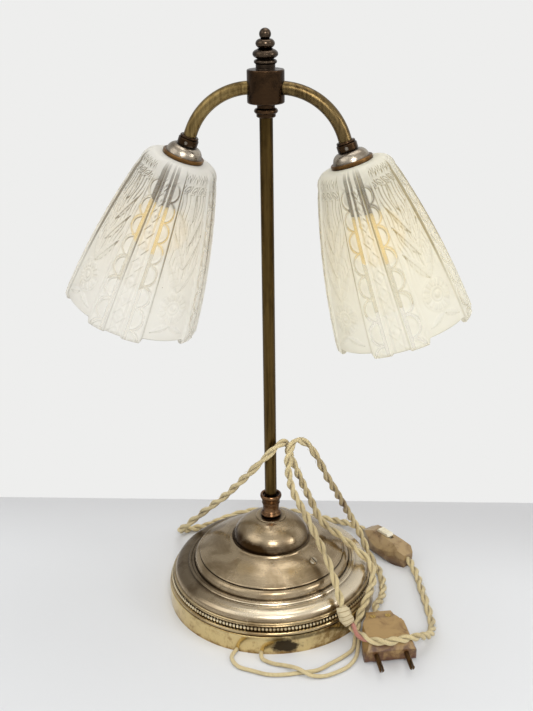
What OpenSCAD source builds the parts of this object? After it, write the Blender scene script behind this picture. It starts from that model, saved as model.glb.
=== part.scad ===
// Two-light table lamp: stepped round base, tube stem, hub with two bent arms,
// pressed glass tulip shades and a twisted cloth-covered flex with switch and plug.
// Z is up, the arms lie along X, and the table is at z = 0 under the stem.

/* [Base] */
// Radius of the plinth, the widest part of the base
plinth_r = 89; // [80:0.5:100]
// Height of the plinth above the table
plinth_h = 16.2; // [14.5:0.1:20]
// Wall of the plinth
plinth_wall = 1.5; // [1:0.1:2.5]
// Height of the beaded ring on the plinth
ring_h = 10; // [9.5:0.1:12]
// Number of beads round the ring
bead_count = 180; // [120:4:188]
// Radius of one bead
bead_r = 1.4; // [1:0.05:1.45]
// Wall of the spun base cover
shell_wall = 1.2; // [0.8:0.1:1.6]
// Height of the dome, from its foot to its top
dome_h = 18.4; // [16:0.1:24]
// Radius of the dome at its foot
dome_r = 32.2; // [30:0.2:36]
// Clearance between the cast weight and the plinth's wall
weight_gap = 1.5; // [0.5:0.1:6]
// Thickness of the felt pad
felt_t = 2; // [1:0.1:2.8]
// Direction of the base screw, from the X axis
screw_angle = -35; // [-90:1:90]

/* [Stem] */
// Outer radius of the stem and arm tubes
tube_r = 5; // [4.6:0.1:5.4]
// Wall of the stem and arm tubes
tube_wall = 1; // [0.6:0.1:1.2]
// Height of the arms' axis above the table
arm_z = 431.8; // [330:1:520]
// Height of the collar that the stem stands in
lower_collar_h = 21; // [18:0.5:30]
// Height of the collar under the hub
upper_collar_h = 10; // [8:0.5:14]

/* [Hub and finial] */
// Radius of the hub
hub_r = 13.7; // [13:0.1:17]
// Height of the hub
hub_h = 24.1; // [22:0.5:32]
// Height of the finial above the hub
finial_h = 28.4; // [24:0.5:34]

/* [Arms] */
// Radius of the bend, at the middle of the tube
bend_r = 49.8; // [40:1:65]
// Turn of the left arm down from level
bend_left = 69; // [60:0.5:75]
// Turn of the right arm down from level
bend_right = 71.5; // [60:0.5:75]
// Straight end of each arm after its bend
arm_end = 12.7; // [12.5:0.1:20]

/* [Shade holders] */
// Radius of the flat rim over the shade
rim_r = 16; // [15.7:0.1:20]
// Thickness of that rim
rim_t = 3.2; // [2:0.1:4]
// Height of the bell cup
cup_h = 12.3; // [10.5:0.1:14]
// Radius of the lampholder's thread
holder_r = 13.5; // [12.5:0.1:14]
// Length of the lampholder below the rim
holder_l = 37; // [34:0.5:44]

/* [Shades and bulbs] */
// Length of a shade along its axis, at its flower panels
shade_l = 130.4; // [120:0.2:150]
// Radius of a shade at its mouth
shade_r = 52.8; // [48:0.2:60]
// Radius of a shade below its shoulder
shoulder_r = 28.6; // [28:0.2:36]
// Thickness of the glass
glass_t = 3.6; // [2.8:0.1:4.2]
// How far the four pilasters stand proud of the panels
pilaster_h = 1.3; // [0.5:0.1:2.5]
// How far the pilasters reach below the panels
tab_l = 4.5; // [2:0.5:7]
// Radius of the round bulb
bulb_r = 22.5; // [17:0.5:23.5]

/* [Flex] */
// Diameter of one cloth-covered conductor
lead_d = 3.2; // [2.6:0.1:3.3]
// Diameter over the twisted pair
flex_d = 6.6; // [5.6:0.1:6.8]

/* [Switch] */
// Length of the switch body
switch_l = 56; // [50:1:66]
// Width of the switch body
switch_w = 26; // [24:0.5:32]
// Height of the switch body
switch_h = 19; // [17:0.5:24]
// Travel of the slider
switch_travel = 6; // [4:0.5:7]

/* [Plug] */
// Length of the plug body
plug_l = 50; // [46:1:60]
// Width of the plug body at its face
plug_w = 42; // [38:1:50]
// Thickness of the plug body
plug_t = 17; // [15:0.5:21]
// Distance between the two pins
pin_pitch = 24; // [19:0.5:26]
// Diameter of a pin
pin_d = 4; // [3.6:0.1:4.8]
// Length of a pin outside the plug
pin_l = 19; // [16:0.5:22]

/* [Hidden] */
$fn = 64;

// Clearances and small shared sizes
slip = 0.05;
loose = 0.3;
tube_bore_r = tube_r - tube_wall;

// Colours
old_brass = [0.52, 0.45, 0.35];
bright_brass = [0.78, 0.66, 0.42];
dark_bronze = [0.26, 0.20, 0.15];
tube_brass = [0.45, 0.37, 0.22];
glass_white = [0.90, 0.88, 0.80];
cloth = [0.86, 0.77, 0.58];
bakelite = [0.62, 0.50, 0.32];
steel = [0.45, 0.45, 0.45];

// ---- Profile helpers ----
// Points on an ellipse quarter or arc, about c, with half axes a and b, from angle f to t
function arc(c, a, b, f, t, n = 6) =
  [for (i = [0 : n]) let (w = f + (t - f) * i / n) [c[0] + a * cos(w), c[1] + b * sin(w)]];
// Points on a cubic curve
function cubic(p, q, r, s, n = 8) =
  [for (i = [0 : n]) let (t = i / n, u = 1 - t) u*u*u*p + 3*u*u*t*q + 3*u*t*t*r + t*t*t*s];
module turned(points) {
  rotate_extrude($fn = 96) polygon(points);
}
module tube(r, bore, h) {
  difference() {
    cylinder(r = r, h = h);
    translate([0, 0, -1]) cylinder(r = bore, h = h + 2);
  }
}
module hex_nut(across, h, bore) {
  difference() {
    cylinder(r = across / sqrt(3), h = h, $fn = 6);
    translate([0, 0, -1]) cylinder(r = bore, h = h + 2);
  }
}

// ---- Sweep helpers ----
function unit(v) = v / norm(v);
function heading(p, i) = unit(p[min(i + 1, len(p) - 1)] - p[max(i - 1, 0)]);
function frames(p, u, i = 0) =
  i >= len(p) ? [] :
  let (t = heading(p, i), s = unit(u - t * (u * t)))
  concat([[s, cross(t, s)]], frames(p, s, i + 1));
// A round tube of radius r with n sides through the points p
module sweep(p, r, n) {
  f = frames(p, [0.31, 0.17, 0.93]);
  m = len(p);
  rings = [for (i = [0 : m - 1]) for (k = [0 : n - 1])
    p[i] + r * (cos(360 * k / n) * f[i][0] + sin(360 * k / n) * f[i][1])];
  sides = [for (i = [0 : m - 2]) for (k = [0 : n - 1]) let (j = (k + 1) % n)
    [i * n + k, (i + 1) * n + k, (i + 1) * n + j, i * n + j]];
  polyhedron(rings, concat([[for (k = [0 : n - 1]) k]],
    [[for (k = [n - 1 : -1 : 0]) (m - 1) * n + k]], sides), convexity = 10);
}

// ---- Levels and radii of the base ----
weight_z = felt_t;
weight_r = plinth_r - plinth_wall - weight_gap;
flange_z = plinth_h - plinth_wall;
flange_r = plinth_r - 9;
cover_z = plinth_h + ring_h;
foot_r = plinth_r - 5.2;
step_r = plinth_r - 17;
ovolo_r = plinth_r - 22.2;
top_ring_r = plinth_r - 27.2;
torus_z = cover_z + 7.2;
fillet_z = torus_z + 2;
ovolo_z = fillet_z + 6.8;
slope_z = ovolo_z + 1.8;
dome_z = slope_z + 12.4;
seat_r = 12.9;
seat_z = dome_z + dome_h + 1.2;
dome_b = dome_h / sqrt(1 - pow((seat_r + 0.5) / dome_r, 2));
channel_z = 8;
boss_r = 26;
boss_z = 21.5;
recess_r = 15;
recess_z = boss_z - 6;
stem_foot_z = 10;
hole_r = tube_r + slip;
exit_r = lead_d / 2 + 0.15;

module wire_notch(exit) {
  rotate([0, 0, atan2(exit[1], exit[0])]) translate([plinth_r - 4, 0, exit_r]) {
    rotate([0, 90, 0]) cylinder(r = exit_r, h = 8, $fn = 24);
    translate([0, -exit_r, -exit_r - 1]) cube([8, 2 * exit_r, exit_r + 1]);
  }
}
module plinth() {
  color(bright_brass) difference() {
    turned([[plinth_r - plinth_wall, 0], [plinth_r, 0], [plinth_r, plinth_h - 1],
      [plinth_r - 0.3, plinth_h - 0.3], [plinth_r - 1, plinth_h], [flange_r, plinth_h],
      [flange_r, flange_z], [plinth_r - plinth_wall, flange_z]]);
    wire_notch(lead_a_route[0]);
    wire_notch(lead_b_route[0]);
  }
}

// The ring on the plinth: two flanges with a groove between them for the beaded strip
groove_r = plinth_r - 3.8;
groove_z = plinth_h + 3.4;
groove_h = 2 * bead_r + 1.2;
strip_r = groove_r + 0.5;
module bead_ring() {
  color(bright_brass) turned(concat([[flange_r, plinth_h], [plinth_r - 1.6, plinth_h]],
    arc([plinth_r - 1.8, plinth_h + 1.7], 1.2, 1.5, -60, 60, 4),
    [[groove_r, groove_z], [groove_r, groove_z + groove_h], [groove_r, groove_z + groove_h + 0.1]],
    arc([foot_r + 0.4, cover_z - 1.1], 1, 1, -60, 60, 4),
    [[foot_r, cover_z], [flange_r, cover_z]]));
}
// Strip in the groove, scalloped into a row of beads
module bead_strip() {
  color(bright_brass) translate([0, 0, groove_z + (groove_h - 2 * bead_r) / 2])
    linear_extrude(2 * bead_r) difference() {
      polygon([for (i = [0 : 4 * bead_count - 1])
        let (a = 90 * i / bead_count, r = strip_r + bead_r * abs(sin(45 * i)))
        [r * cos(a), r * sin(a)]]);
      circle(groove_r, $fn = 360);
    }
}

// The spun cover, from its foot on the ring up to the seat of the stem's collar
module base_shell() {
  w = shell_wall;
  torus_a = foot_r - step_r - 3.2;
  ovolo_a = ovolo_r - top_ring_r - 0.6;
  ovolo_b = ovolo_z - fillet_z;
  slope_r = top_ring_r - 1.2;
  outer = concat([[foot_r, cover_z]],
    arc([foot_r - torus_a, cover_z + 0.2], torus_a, torus_z - cover_z - 0.4, 0, 90, 9),
    [[step_r + 0.4, torus_z], [step_r, torus_z + 0.2], [step_r, torus_z + 1.4],
      [step_r - 0.5, fillet_z], [step_r - 2.2, fillet_z], [step_r - 2.5, fillet_z - 0.3],
      [step_r - 2.8, fillet_z], [ovolo_r + 0.5, fillet_z], [ovolo_r + 0.2, fillet_z - 0.4]],
    arc([ovolo_r - ovolo_a, fillet_z], ovolo_a, ovolo_b, 0, 90, 8),
    [[top_ring_r, ovolo_z], [top_ring_r, ovolo_z + 0.4], [top_ring_r + 0.2, ovolo_z + 1],
      [top_ring_r - 0.3, ovolo_z + 1.6]],
    cubic([slope_r, slope_z], [slope_r - 9, slope_z + 5.6], [dome_r + 14, dome_z - 4],
      [dome_r + 3.6, dome_z - 1.3], 10),
    [[dome_r + 3, dome_z - 0.5], [dome_r + 2.2, dome_z - 0.2], [dome_r + 1.2, dome_z - 0.3]],
    arc([0, dome_z], dome_r, dome_b, 0, acos((seat_r + 0.5) / dome_r), 14),
    [[seat_r, seat_z - 1], [seat_r, seat_z - 0.3], [seat_r - 0.3, seat_z], [hole_r, seat_z]]);
  nut_seat = [[hole_r, seat_z - 2 * w], [9, seat_z - 2 * w]];
  inner_b = seat_z - 2 * w - dome_z;
  inner = concat(nut_seat,
    arc([0, dome_z], dome_r - w, inner_b / sin(acos(9 / (dome_r - w))),
      acos(9 / (dome_r - w)), 0, 12),
    [[dome_r - w, dome_z - 1.6]],
    cubic([dome_r + 2.4, dome_z - 1.3 - 1.2 * w], [dome_r + 13, dome_z - 4 - 1.2 * w],
      [slope_r - 9, slope_z + 5.4 - 1.2 * w], [slope_r - 0.4, slope_z - 1.3 * w], 8),
    arc([ovolo_r - ovolo_a, fillet_z - 0.2], ovolo_a - w, ovolo_b - w, 84, 0, 6),
    [[ovolo_r - w, fillet_z - 0.4 - w], [step_r - w, fillet_z - 0.4 - w],
      [step_r - w, torus_z - w]],
    arc([foot_r - torus_a, cover_z + 0.2], torus_a - w, torus_z - cover_z - 0.4 - w, 90, 0, 8),
    [[foot_r - w, cover_z]]);
  color(old_brass) difference() {
    turned(concat(outer, inner));
    at_screw() cylinder(r = screw_hole_r, h = 20, center = true, $fn = 24);
  }
}

// A short screw with its nut, square to the slope of the cover
screw_r = 2;
screw_hole_r = screw_r + 0.15;
screw_head_r = 3.4;
screw_place = 0.52;
function slope_point(t) = cubic([top_ring_r - 1.2, slope_z], [top_ring_r - 10.2, slope_z + 5.6],
  [dome_r + 14, dome_z - 4], [dome_r + 3.6, dome_z - 1.3], 100)[round(100 * t)];
module at_screw() {
  p = slope_point(screw_place);
  d = slope_point(screw_place + 0.05) - slope_point(screw_place - 0.05);
  rotate([0, 0, screw_angle]) translate([p[0], 0, p[1]]) rotate([0, atan2(d[1], -d[0]), 0])
    children();
}
module base_screw() {
  under = -shell_wall - 0.5;
  color(steel) at_screw() {
    difference() {
      union() {
        translate([0, 0, 0.15]) cylinder(r1 = screw_head_r, r2 = screw_head_r - 0.7, h = 1.6);
        translate([0, 0, -7]) cylinder(r = screw_r, h = 7.5);
      }
      translate([-5, -0.45, 1]) cube([10, 0.9, 2]);
    }
    translate([0, 0, under - 2.6]) hex_nut(7, 2.4, screw_r);
  }
}

module base_weight() {
  color([0.3, 0.3, 0.31]) difference() {
    union() {
      translate([0, 0, weight_z]) cylinder(r = weight_r, h = flange_z - weight_z);
      translate([0, 0, weight_z]) cylinder(r = boss_r, h = boss_z - weight_z);
    }
    translate([0, 0, weight_z - 1]) cylinder(r = recess_r, h = recess_z - weight_z + 1);
    cylinder(r = tube_r + loose, h = boss_z + 1);
    // Channel for the two conductors
    translate([0, 0, weight_z - 1]) linear_extrude(channel_z - weight_z + 1)
      polygon([[-6, 0], [6, 0], [12, -plinth_r - 1], [-24, -plinth_r - 1]]);
  }
}
module felt_pad() {
  color([0.25, 0.35, 0.27]) cylinder(r = flange_r - 2, h = felt_t);
}
washer_t = 1;
nut_h = 4;
module weight_washer() {
  color(steel) translate([0, 0, recess_z - washer_t]) tube(11, tube_r + slip, washer_t);
}
module weight_nut() {
  color(steel) translate([0, 0, recess_z - washer_t - nut_h]) hex_nut(14, nut_h, tube_r + slip);
}
module dome_nut() {
  color(steel) translate([0, 0, seat_z - 2 * shell_wall - nut_h]) hex_nut(14, nut_h, tube_r + slip);
}

// ---- Stem ----
hub_z = arm_z - 11;
upper_collar_z = hub_z - upper_collar_h;
splice_z = arm_z - 4.4;
stem_top_z = splice_z;
module lower_collar() {
  z = seat_z;
  t = seat_z + lower_collar_h;
  color(dark_bronze) turned(concat([[tube_r + slip, z], [7.4, z], [7.6, z + 0.8]],
    arc([7.2, z + 2.4], 1.4, 1.4, -70, 70, 6),
    [[7.3, z + 4.2], [7.6, z + 4.6], [7.3, z + 5.2]],
    cubic([7, z + 5.6], [6.7, z + 8], [6.8, t - 11], [7.2, t - 9.2], 5),
    arc([7.1, t - 8.4], 0.6, 0.6, -80, 80, 4),
    cubic([7.2, t - 7.6], [7.5, t - 6], [8, t - 5], [8.3, t - 4], 4),
    arc([7.9, t - 2], 1.2, 1.9, -50, 80, 6),
    [[7, t - 0.6], [6.2, t - 2.4], [tube_r + slip, t - 2.8]]));
}
module stem_tube() {
  color(tube_brass) translate([0, 0, stem_foot_z])
    tube(tube_r, tube_bore_r, stem_top_z - stem_foot_z);
}
module upper_collar() {
  z = upper_collar_z;
  color(dark_bronze) turned(concat([[tube_r + slip, z], [6.4, z], [7.1, z + 0.6], [7.1, z + 2.6]],
    arc([6.9, z + 4.6], 1.9, 1.9, -75, 75, 8),
    [[6.6, z + 6.8], [6.6, hub_z - 0.8], [7, hub_z], [tube_r + slip, hub_z]]));
}

// ---- Hub and finial ----
hub_top_z = hub_z + hub_h;
splice_r = 6;
splice_h = 9;
stud_r = 3;
hub_room_r = 8.6;
hub_room_z = stem_top_z - 1.5;
module hub() {
  c = 0.9;
  color(dark_bronze) difference() {
    turned(concat([[0, hub_z], [hub_r - 1, hub_z], [hub_r - 0.2, hub_z + 0.5],
      [hub_r, hub_z + 1], [hub_r, hub_top_z - c]],
      arc([hub_r - c, hub_top_z - c], c, c, 0, 90, 4), [[0, hub_top_z]]));
    translate([0, 0, hub_z - 1]) cylinder(r = tube_r + slip, h = 10);
    translate([0, 0, hub_room_z]) cylinder(r = hub_room_r, h = splice_h + 4.4);
    translate([0, 0, hub_room_z]) cylinder(r = stud_r + slip, h = hub_h);
    for (s = [-1, 1]) translate([0, 0, arm_z]) rotate([0, 90 * s, 0])
      cylinder(r = tube_r + slip, h = hub_r + 1);
  }
}
// The taped joint of the stem's conductors and the arms' conductors
module hub_splice() {
  color(cloth) translate([0, 0, splice_z + 0.05]) cylinder(r = splice_r, h = splice_h);
}
module finial() {
  z = hub_top_z;
  f = finial_h;
  color(dark_bronze) turned(concat([[0, z - 5], [stud_r, z - 5], [stud_r, z], [7.4, z],
      [7.1, z + 0.6], [7.1, z + 3.5]],
    arc([7.2, z + 0.183 * f], 1.2, 1.4, -70, 70, 6), [[6.4, z + 0.245 * f]],
    arc([3.4, z + 0.373 * f], 5.9, 0.127 * f, -62, 62, 10),
    arc([2.6, z + 0.623 * f], 4.4, 0.123 * f, -60, 62, 9),
    arc([0, z + f - 4.3], 4.3, 4.3, -43, 90, 10)));
}
module stem_wires() {
  color(cloth) for (s = [-1, 1]) translate([s * (lead_d / 2 + slip), 0, stem_foot_z])
    cylinder(r = lead_d / 2, h = stem_top_z - stem_foot_z, $fn = 24);
}
// Under the weight the two conductors run from the stem to their notches
function wire_route(s, exit) = let (x = s * (lead_d / 2 + slip), u = [exit[0], exit[1]] / plinth_r)
  [[x, 0, stem_foot_z], [x, 0, stem_foot_z - 2], [x, -1.4, 6.4], [x, -4.4, 5], [x, -9, 4.9],
   [x / 2 + 44 * u[0], 44 * u[1], 4.9], concat((flange_r - 1.4) * u, 4.9),
   concat((plinth_r - 3.5) * u, 1.9), exit];
module base_wires() {
  color(cloth) {
    sweep(wire_route(-1, lead_a_route[0]), lead_d / 2, 8);
    sweep(wire_route(1, lead_b_route[0]), lead_d / 2, 8);
  }
}

// ---- Arms and what they carry ----
arm_root = 9;
bend_x = 10;
// Places what follows at the end of an arm's bend, with Z down along the shade's axis
module at_bend_end(turn) {
  translate([bend_x, 0, arm_z - bend_r]) rotate([0, turn, 0]) translate([0, 0, bend_r])
    rotate([0, 90, 0]) children();
}
// A round bar along an arm: its straight ends lap over the bend, which is drawn a hair thinner
lap = 0.3;
draw = 0.02;
module bent_bar(turn, r) {
  translate([arm_root, 0, arm_z]) rotate([0, 90, 0]) cylinder(r = r, h = bend_x - arm_root + lap);
  translate([bend_x, 0, arm_z - bend_r]) rotate([90, 0, 0]) rotate([0, 0, 90 - turn])
    rotate_extrude(angle = turn, $fn = 96) translate([bend_r, 0]) circle(r - draw);
  at_bend_end(turn) translate([0, 0, -lap]) cylinder(r = r, h = arm_end + lap);
}
module arm(turn) {
  color(tube_brass) difference() {
    bent_bar(turn, tube_r);
    bent_bar(turn, tube_bore_r);
    at_bend_end(turn) translate([0, 0, arm_end - 1]) cylinder(r = tube_bore_r, h = 2);
    translate([arm_root - 1, 0, arm_z]) rotate([0, 90, 0]) cylinder(r = tube_bore_r, h = 2);
  }
}

// Distances along the shade's axis, from the end of the bend
cup_floor_t = 1.8;
neck_l = 5.5;
lock_t = 2;
bell_d = arm_end + 0.1 - cup_floor_t;
neck_d = bell_d - neck_l;
lock_d = neck_d - lock_t;
rim_d = neck_d + cup_h;
glass_d = rim_d + rim_t;
neck_r = 7.7;
module arm_nut(turn) {
  color(dark_bronze) at_bend_end(turn) translate([0, 0, lock_d])
    turned(concat([[tube_r + slip, 0], [6.4, 0]],
      arc([6.3, lock_t / 2], 0.8, 0.45 * lock_t, -80, 80, 6),
      [[6.4, lock_t], [tube_r + slip, lock_t]]));
}
module cup(turn) {
  lip_r = rim_r - 2;
  w = 1.1;
  color([0.43, 0.38, 0.34]) at_bend_end(turn) difference() {
    turned(concat([[tube_r + slip, neck_d], [neck_r - 0.5, neck_d], [neck_r, neck_d + 0.5],
        [neck_r, bell_d - 0.8], [neck_r - 0.5, bell_d - 0.3]],
      cubic([neck_r - 0.2, bell_d], [neck_r + 3.6, bell_d + 0.4], [lip_r - 1, rim_d - 4],
        [lip_r, rim_d], 9),
      cubic([lip_r - w, rim_d], [lip_r - w - 1, rim_d - 3.4], [neck_r + 2.6, bell_d + cup_floor_t],
        [neck_r - 0.6, bell_d + cup_floor_t], 8),
      [[tube_r + slip, bell_d + cup_floor_t]]));
    translate([0, 0, neck_d + neck_l / 2]) rotate([90, 0, 0])
      cylinder(r = 1.3, h = neck_r + 1, $fn = 24);
  }
}
module cup_screw(turn) {
  color(steel) at_bend_end(turn) translate([0, 0, neck_d + neck_l / 2]) rotate([90, 0, 0])
    difference() {
      translate([0, 0, tube_r + 0.02]) cylinder(r = 1.25, h = neck_r - tube_r - 0.9, $fn = 24);
      translate([-2, -0.2, neck_r - 1.4]) cube([4, 0.4, 2]);
    }
}
module rim(turn) {
  color([0.51, 0.40, 0.25]) at_bend_end(turn) turned([[holder_cap_r + slip, rim_d],
    [rim_r - 0.5, rim_d], [rim_r, rim_d + 0.5], [rim_r, rim_d + rim_t - 0.4],
    [rim_r - 0.4, rim_d + rim_t], [holder_cap_r + slip, rim_d + rim_t]]);
}

// Lampholder: a cap inside the cup, a threaded body below the rim, hollow from its mouth
holder_cap_r = 11;
insulator_d = glass_d + 8;
insulator_t = 7;
holder_room_r = holder_r - 1.6;
module holder(turn) {
  cap_d = arm_end + 0.1;
  color([0.35, 0.29, 0.2]) at_bend_end(turn) difference() {
    union() {
      translate([0, 0, cap_d]) cylinder(r1 = 6.4, r2 = 9.4, h = rim_d - cap_d - 0.6);
      translate([0, 0, rim_d - 0.6]) cylinder(r = holder_cap_r - 0.6, h = 1.2);
      translate([0, 0, rim_d + 0.2]) cylinder(r = holder_cap_r, h = rim_t - 0.2);
      translate([0, 0, glass_d]) cylinder(r = holder_r, h = holder_l - 1);
      translate([0, 0, glass_d]) cylinder(r = holder_r - 0.8, h = holder_l);
    }
    translate([0, 0, cap_d - 1]) cylinder(r = tube_bore_r, h = insulator_d - cap_d + 2);
    translate([0, 0, rim_d + 0.6]) cylinder(r = holder_cap_r - 1.6, h = insulator_d - rim_d - 2);
    translate([0, 0, insulator_d]) cylinder(r = holder_room_r, h = holder_l);
  }
}
module insulator(turn) {
  color([0.85, 0.83, 0.78]) at_bend_end(turn) translate([0, 0, insulator_d])
    cylinder(r = holder_room_r - slip, h = insulator_t);
}
// Brass shell that takes the bulb's thread
module screw_shell(turn) {
  color(bright_brass) at_bend_end(turn) translate([0, 0, cap_d])
    tube(cap_r + 0.7, cap_r + slip, 12);
}
module shade_ring(turn) {
  color(tube_brass) at_bend_end(turn) translate([0, 0, glass_d + glass_t + 0.1])
    tube(holder_r + 3.6, holder_r + slip, 4);
}

// Bulb with a small screw cap
cap_r = 6.8;
cap_d = insulator_d + insulator_t;
cap_l = 19;
neck_end = cap_d + cap_l;
bulb_d = neck_end + 1.2 + bulb_r;
module bulb_cap(turn) {
  color([0.7, 0.68, 0.6]) at_bend_end(turn) translate([0, 0, cap_d + slip]) {
    cylinder(r1 = 2, r2 = 4, h = 1.5);
    translate([0, 0, 1.5]) cylinder(r1 = 5, r2 = cap_r, h = 2);
    translate([0, 0, 3.5]) cylinder(r = cap_r, h = cap_l - 3.5 - slip);
  }
}
module bulb(turn) {
  w = acos((cap_r + 1.6) / bulb_r);
  color([0.93, 0.8, 0.45]) at_bend_end(turn) turned(concat([[0, neck_end], [cap_r, neck_end],
      [cap_r + 0.4, neck_end + 1.2]], arc([0, bulb_d], bulb_r, bulb_r, -w, 90, 20)));
}
wire_r = 1.3;
module arm_wires(turn) {
  color(cloth) for (s = [-1, 1]) translate([0, s * (wire_r + slip), 0]) {
    bent_bar(turn, wire_r);
    translate([splice_r + 0.1, 0, arm_z]) rotate([0, 90, 0])
      cylinder(r = wire_r - draw, h = arm_root - splice_r);
    at_bend_end(turn) translate([0, 0, arm_end - 1])
      cylinder(r = wire_r - draw, h = insulator_d - arm_end + 1);
  }
}

// ---- Pressed glass shades ----
shade_hole_r = holder_r + 0.8;
top_flat_r = shoulder_r - 7.2;
shoulder_s = 10;
lip = 1.2;
// Half widths, in degrees, of a pilaster group and of its middle band
group_a = 24.2;
band_a = 7.5;
// Directions round a quarter of the shade, from the middle of one pilaster group
quarter = [0, band_a - 1, band_a + 1, 16, group_a - 1.2, group_a + 1.2, 35, 45, 55,
  90 - group_a - 1.2, 90 - group_a + 1.2, 74, 90 - band_a - 1, 90 - band_a + 1];
function ramp(x, a, b) = min(1, max(0, (x - a) / (b - a)));
function off_group(a) = abs((a + 45) % 90 - 45);
function in_group(a) = ramp(off_group(a), group_a + 1.2, group_a - 1.2);
function in_band(a) = ramp(off_group(a), band_a + 1, band_a - 1);
function proud(a) = pilaster_h * in_group(a) - 0.5 * in_band(a);
function reach(a, s) = (tab_l * in_group(a) - 1.4 * in_band(a)) * pow(s / shade_l, 4);
function body_r(s) = let (u = (s - shoulder_s) / (shade_l - shoulder_s))
  shoulder_r + (shade_r - shoulder_r) * u * (1.48 - 0.48 * u);
function body_s(u) = shoulder_s + (shade_l - lip - shoulder_s) * u;
// The glass in section at direction a: down the outside, round the lip and up the inside
function glass_section(a) = concat(
  [[shade_hole_r, 0]],
  [for (w = [90 : -22.5 : 0])
    [top_flat_r + (shoulder_r - top_flat_r) * cos(w), shoulder_s * (1 - sin(w))]],
  [for (u = [0.03, 0.13, 0.27, 0.42, 0.58, 0.74, 0.88, 1]) let (s = body_s(u))
    [body_r(s) + proud(a), s + reach(a, s)]],
  [[body_r(shade_l) + proud(a) - lip, shade_l + reach(a, shade_l)],
    [body_r(shade_l) - glass_t + lip, shade_l + reach(a, shade_l)]],
  [for (u = [1, 0.82, 0.62, 0.42, 0.22, 0.06]) let (s = body_s(u))
    [body_r(s) - glass_t, s + reach(a, s)]],
  [for (w = [0 : 45 : 90]) [top_flat_r - 1 + (shoulder_r - glass_t - top_flat_r + 1) * cos(w),
    shoulder_s - (shoulder_s - glass_t) * sin(w)]],
  [[shade_hole_r, glass_t]]);
module shade(turn) {
  around = [for (q = [0 : 3]) for (a = quarter) 90 * q + a];
  sections = [for (a = around) glass_section(a)];
  n = len(sections[0]);
  m = len(around);
  points = [for (i = [0 : n - 1]) for (k = [0 : m - 1]) let (p = sections[k][i])
    [p[0] * cos(around[k]), p[0] * sin(around[k]), p[1]]];
  faces = [for (i = [0 : n - 1]) for (k = [0 : m - 1]) let (j = (i + 1) % n, l = (k + 1) % m)
    [i * m + k, j * m + k, j * m + l, i * m + l]];
  color(glass_white) at_bend_end(turn) translate([0, 0, glass_d])
    polyhedron(points, faces, convexity = 6);
}

// ---- Flex ----
// Routes of the cords, from the base to the plug, as their middle lines lie
lead_a_route = [[-15.4, -87.5, 1.7], [-17.5, -98, 1.7], [-11, -108, 1.7], [2, -112, 1.7],
  [15, -114.5, 1.7], [28, -112.5, 1.7], [40, -108.5, 1.7], [52, -104, 1.7], [61, -95, 1.7],
  [70, -85.5, 1.7], [77.2, -75, 2.2], [78, -62, 3.4]];
lead_b_route = [[4.7, -88.7, 1.7], [7, -96.5, 1.7], [16, -101, 1.7], [27, -103, 2.4],
  [37, -108.5, 5.1], [48, -112, 2.8], [58, -110, 1.7], [68, -103.5, 1.7], [76, -95, 1.7],
  [80.6, -83, 1.8], [81.2, -72, 2.6], [81.3, -62, 3.4]];
switch_route = [[79.65, -62, 3.4], [79.1, -49.7, 10.2], [84.7, -36.8, 22.3], [89.3, -18, 27.5],
  [86, 0, 34], [74, 7, 42], [58, 12.5, 52], [42, 18, 61], [33, 20, 78], [25, 19, 97],
  [18, 17, 116], [12.5, 13, 134], [11, 1, 145], [4.5, -9.5, 143.5], [-8, -11, 130],
  [-25, 0.5, 107], [-42, 13, 84], [-58, 27, 64], [-74, 43, 43], [-89, 56, 24], [-98, 66, 12],
  [-98, 77, 5], [-89, 84, 3.4], [-77, 92, 3.4], [-63, 107, 3.4], [-45, 121, 3.4],
  [-23, 128.5, 3.4], [0, 128, 3.4], [22, 121.5, 3.4], [44, 117, 3.4], [65, 105, 7], [78, 92, 8]];
splice_route = [[117.6, 52.4, 8], [126, 33, 4], [131, 11, 3.4], [136, -12, 3.4],
  [140, -35, 3.4], [138, -56, 9], [130, -72, 18], [117, -82, 21.5], [102, -88, 21.5],
  [90, -84.5, 20], [81, -75, 17.5], [75, -67, 18]];
plug_route = [[67.5, -62, 29], [63, -54, 40], [56, -40, 51], [48, -28, 61], [39, -19, 74],
  [29, -14, 91], [20, -12, 109], [16.5, -11, 128], [17, -6, 141], [21, 4, 145.5],
  [29, 13, 139], [37, 20, 123], [45, 25, 103], [54, 32, 82], [64, 42, 56], [74, 51, 30],
  [83, 50, 9], [92, 36, 3.8], [97, 14, 3.8], [96.5, -7, 4.5], [92.5, -22, 7.5], [94.5, -37, 8.5]];
flex_r = flex_d / 2;
module lead_a() {
  color(cloth) sweep(lead_a_route, lead_d / 2, 8);
}
module lead_b() {
  color(cloth) sweep(lead_b_route, lead_d / 2, 8);
}
module flex_to_switch() {
  color(cloth) sweep(switch_route, flex_r, 10);
}
module flex_to_splice() {
  color(cloth) sweep(splice_route, flex_r, 10);
}
module flex_to_plug() {
  color(cloth) sweep(plug_route, flex_r, 10);
}
// Tape round the repaired joint of the two lengths
module splice_wrap() {
  a = splice_route[len(splice_route) - 1];
  b = plug_route[0];
  v = b - a;
  l = norm(v);
  color([0.9, 0.86, 0.76]) translate(a)
    rotate([0, acos(v[2] / l), atan2(v[1], v[0])])
      turned(concat([[0, -1]], arc([2.6, l / 2], flex_r, l / 2 + 1, -90, 90, 10), [[0, l + 1]]));
}

// ---- Switch on the flex ----
switch_split = 8;
switch_wall = 2.4;
switch_end_w = 10.6;
switch_end_h = 13;
slider_l = 15;
slider_w = 6.6;
slider_x = 17;
stem_l = 8;
stem_w = 3.6;
slot_w = stem_w + 2 * loose;
slider_cap_h = 2.6;
module at_switch() {
  p = switch_route[len(switch_route) - 1];
  translate([p[0], p[1], 0]) rotate([0, 0, -45]) children();
}
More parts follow.
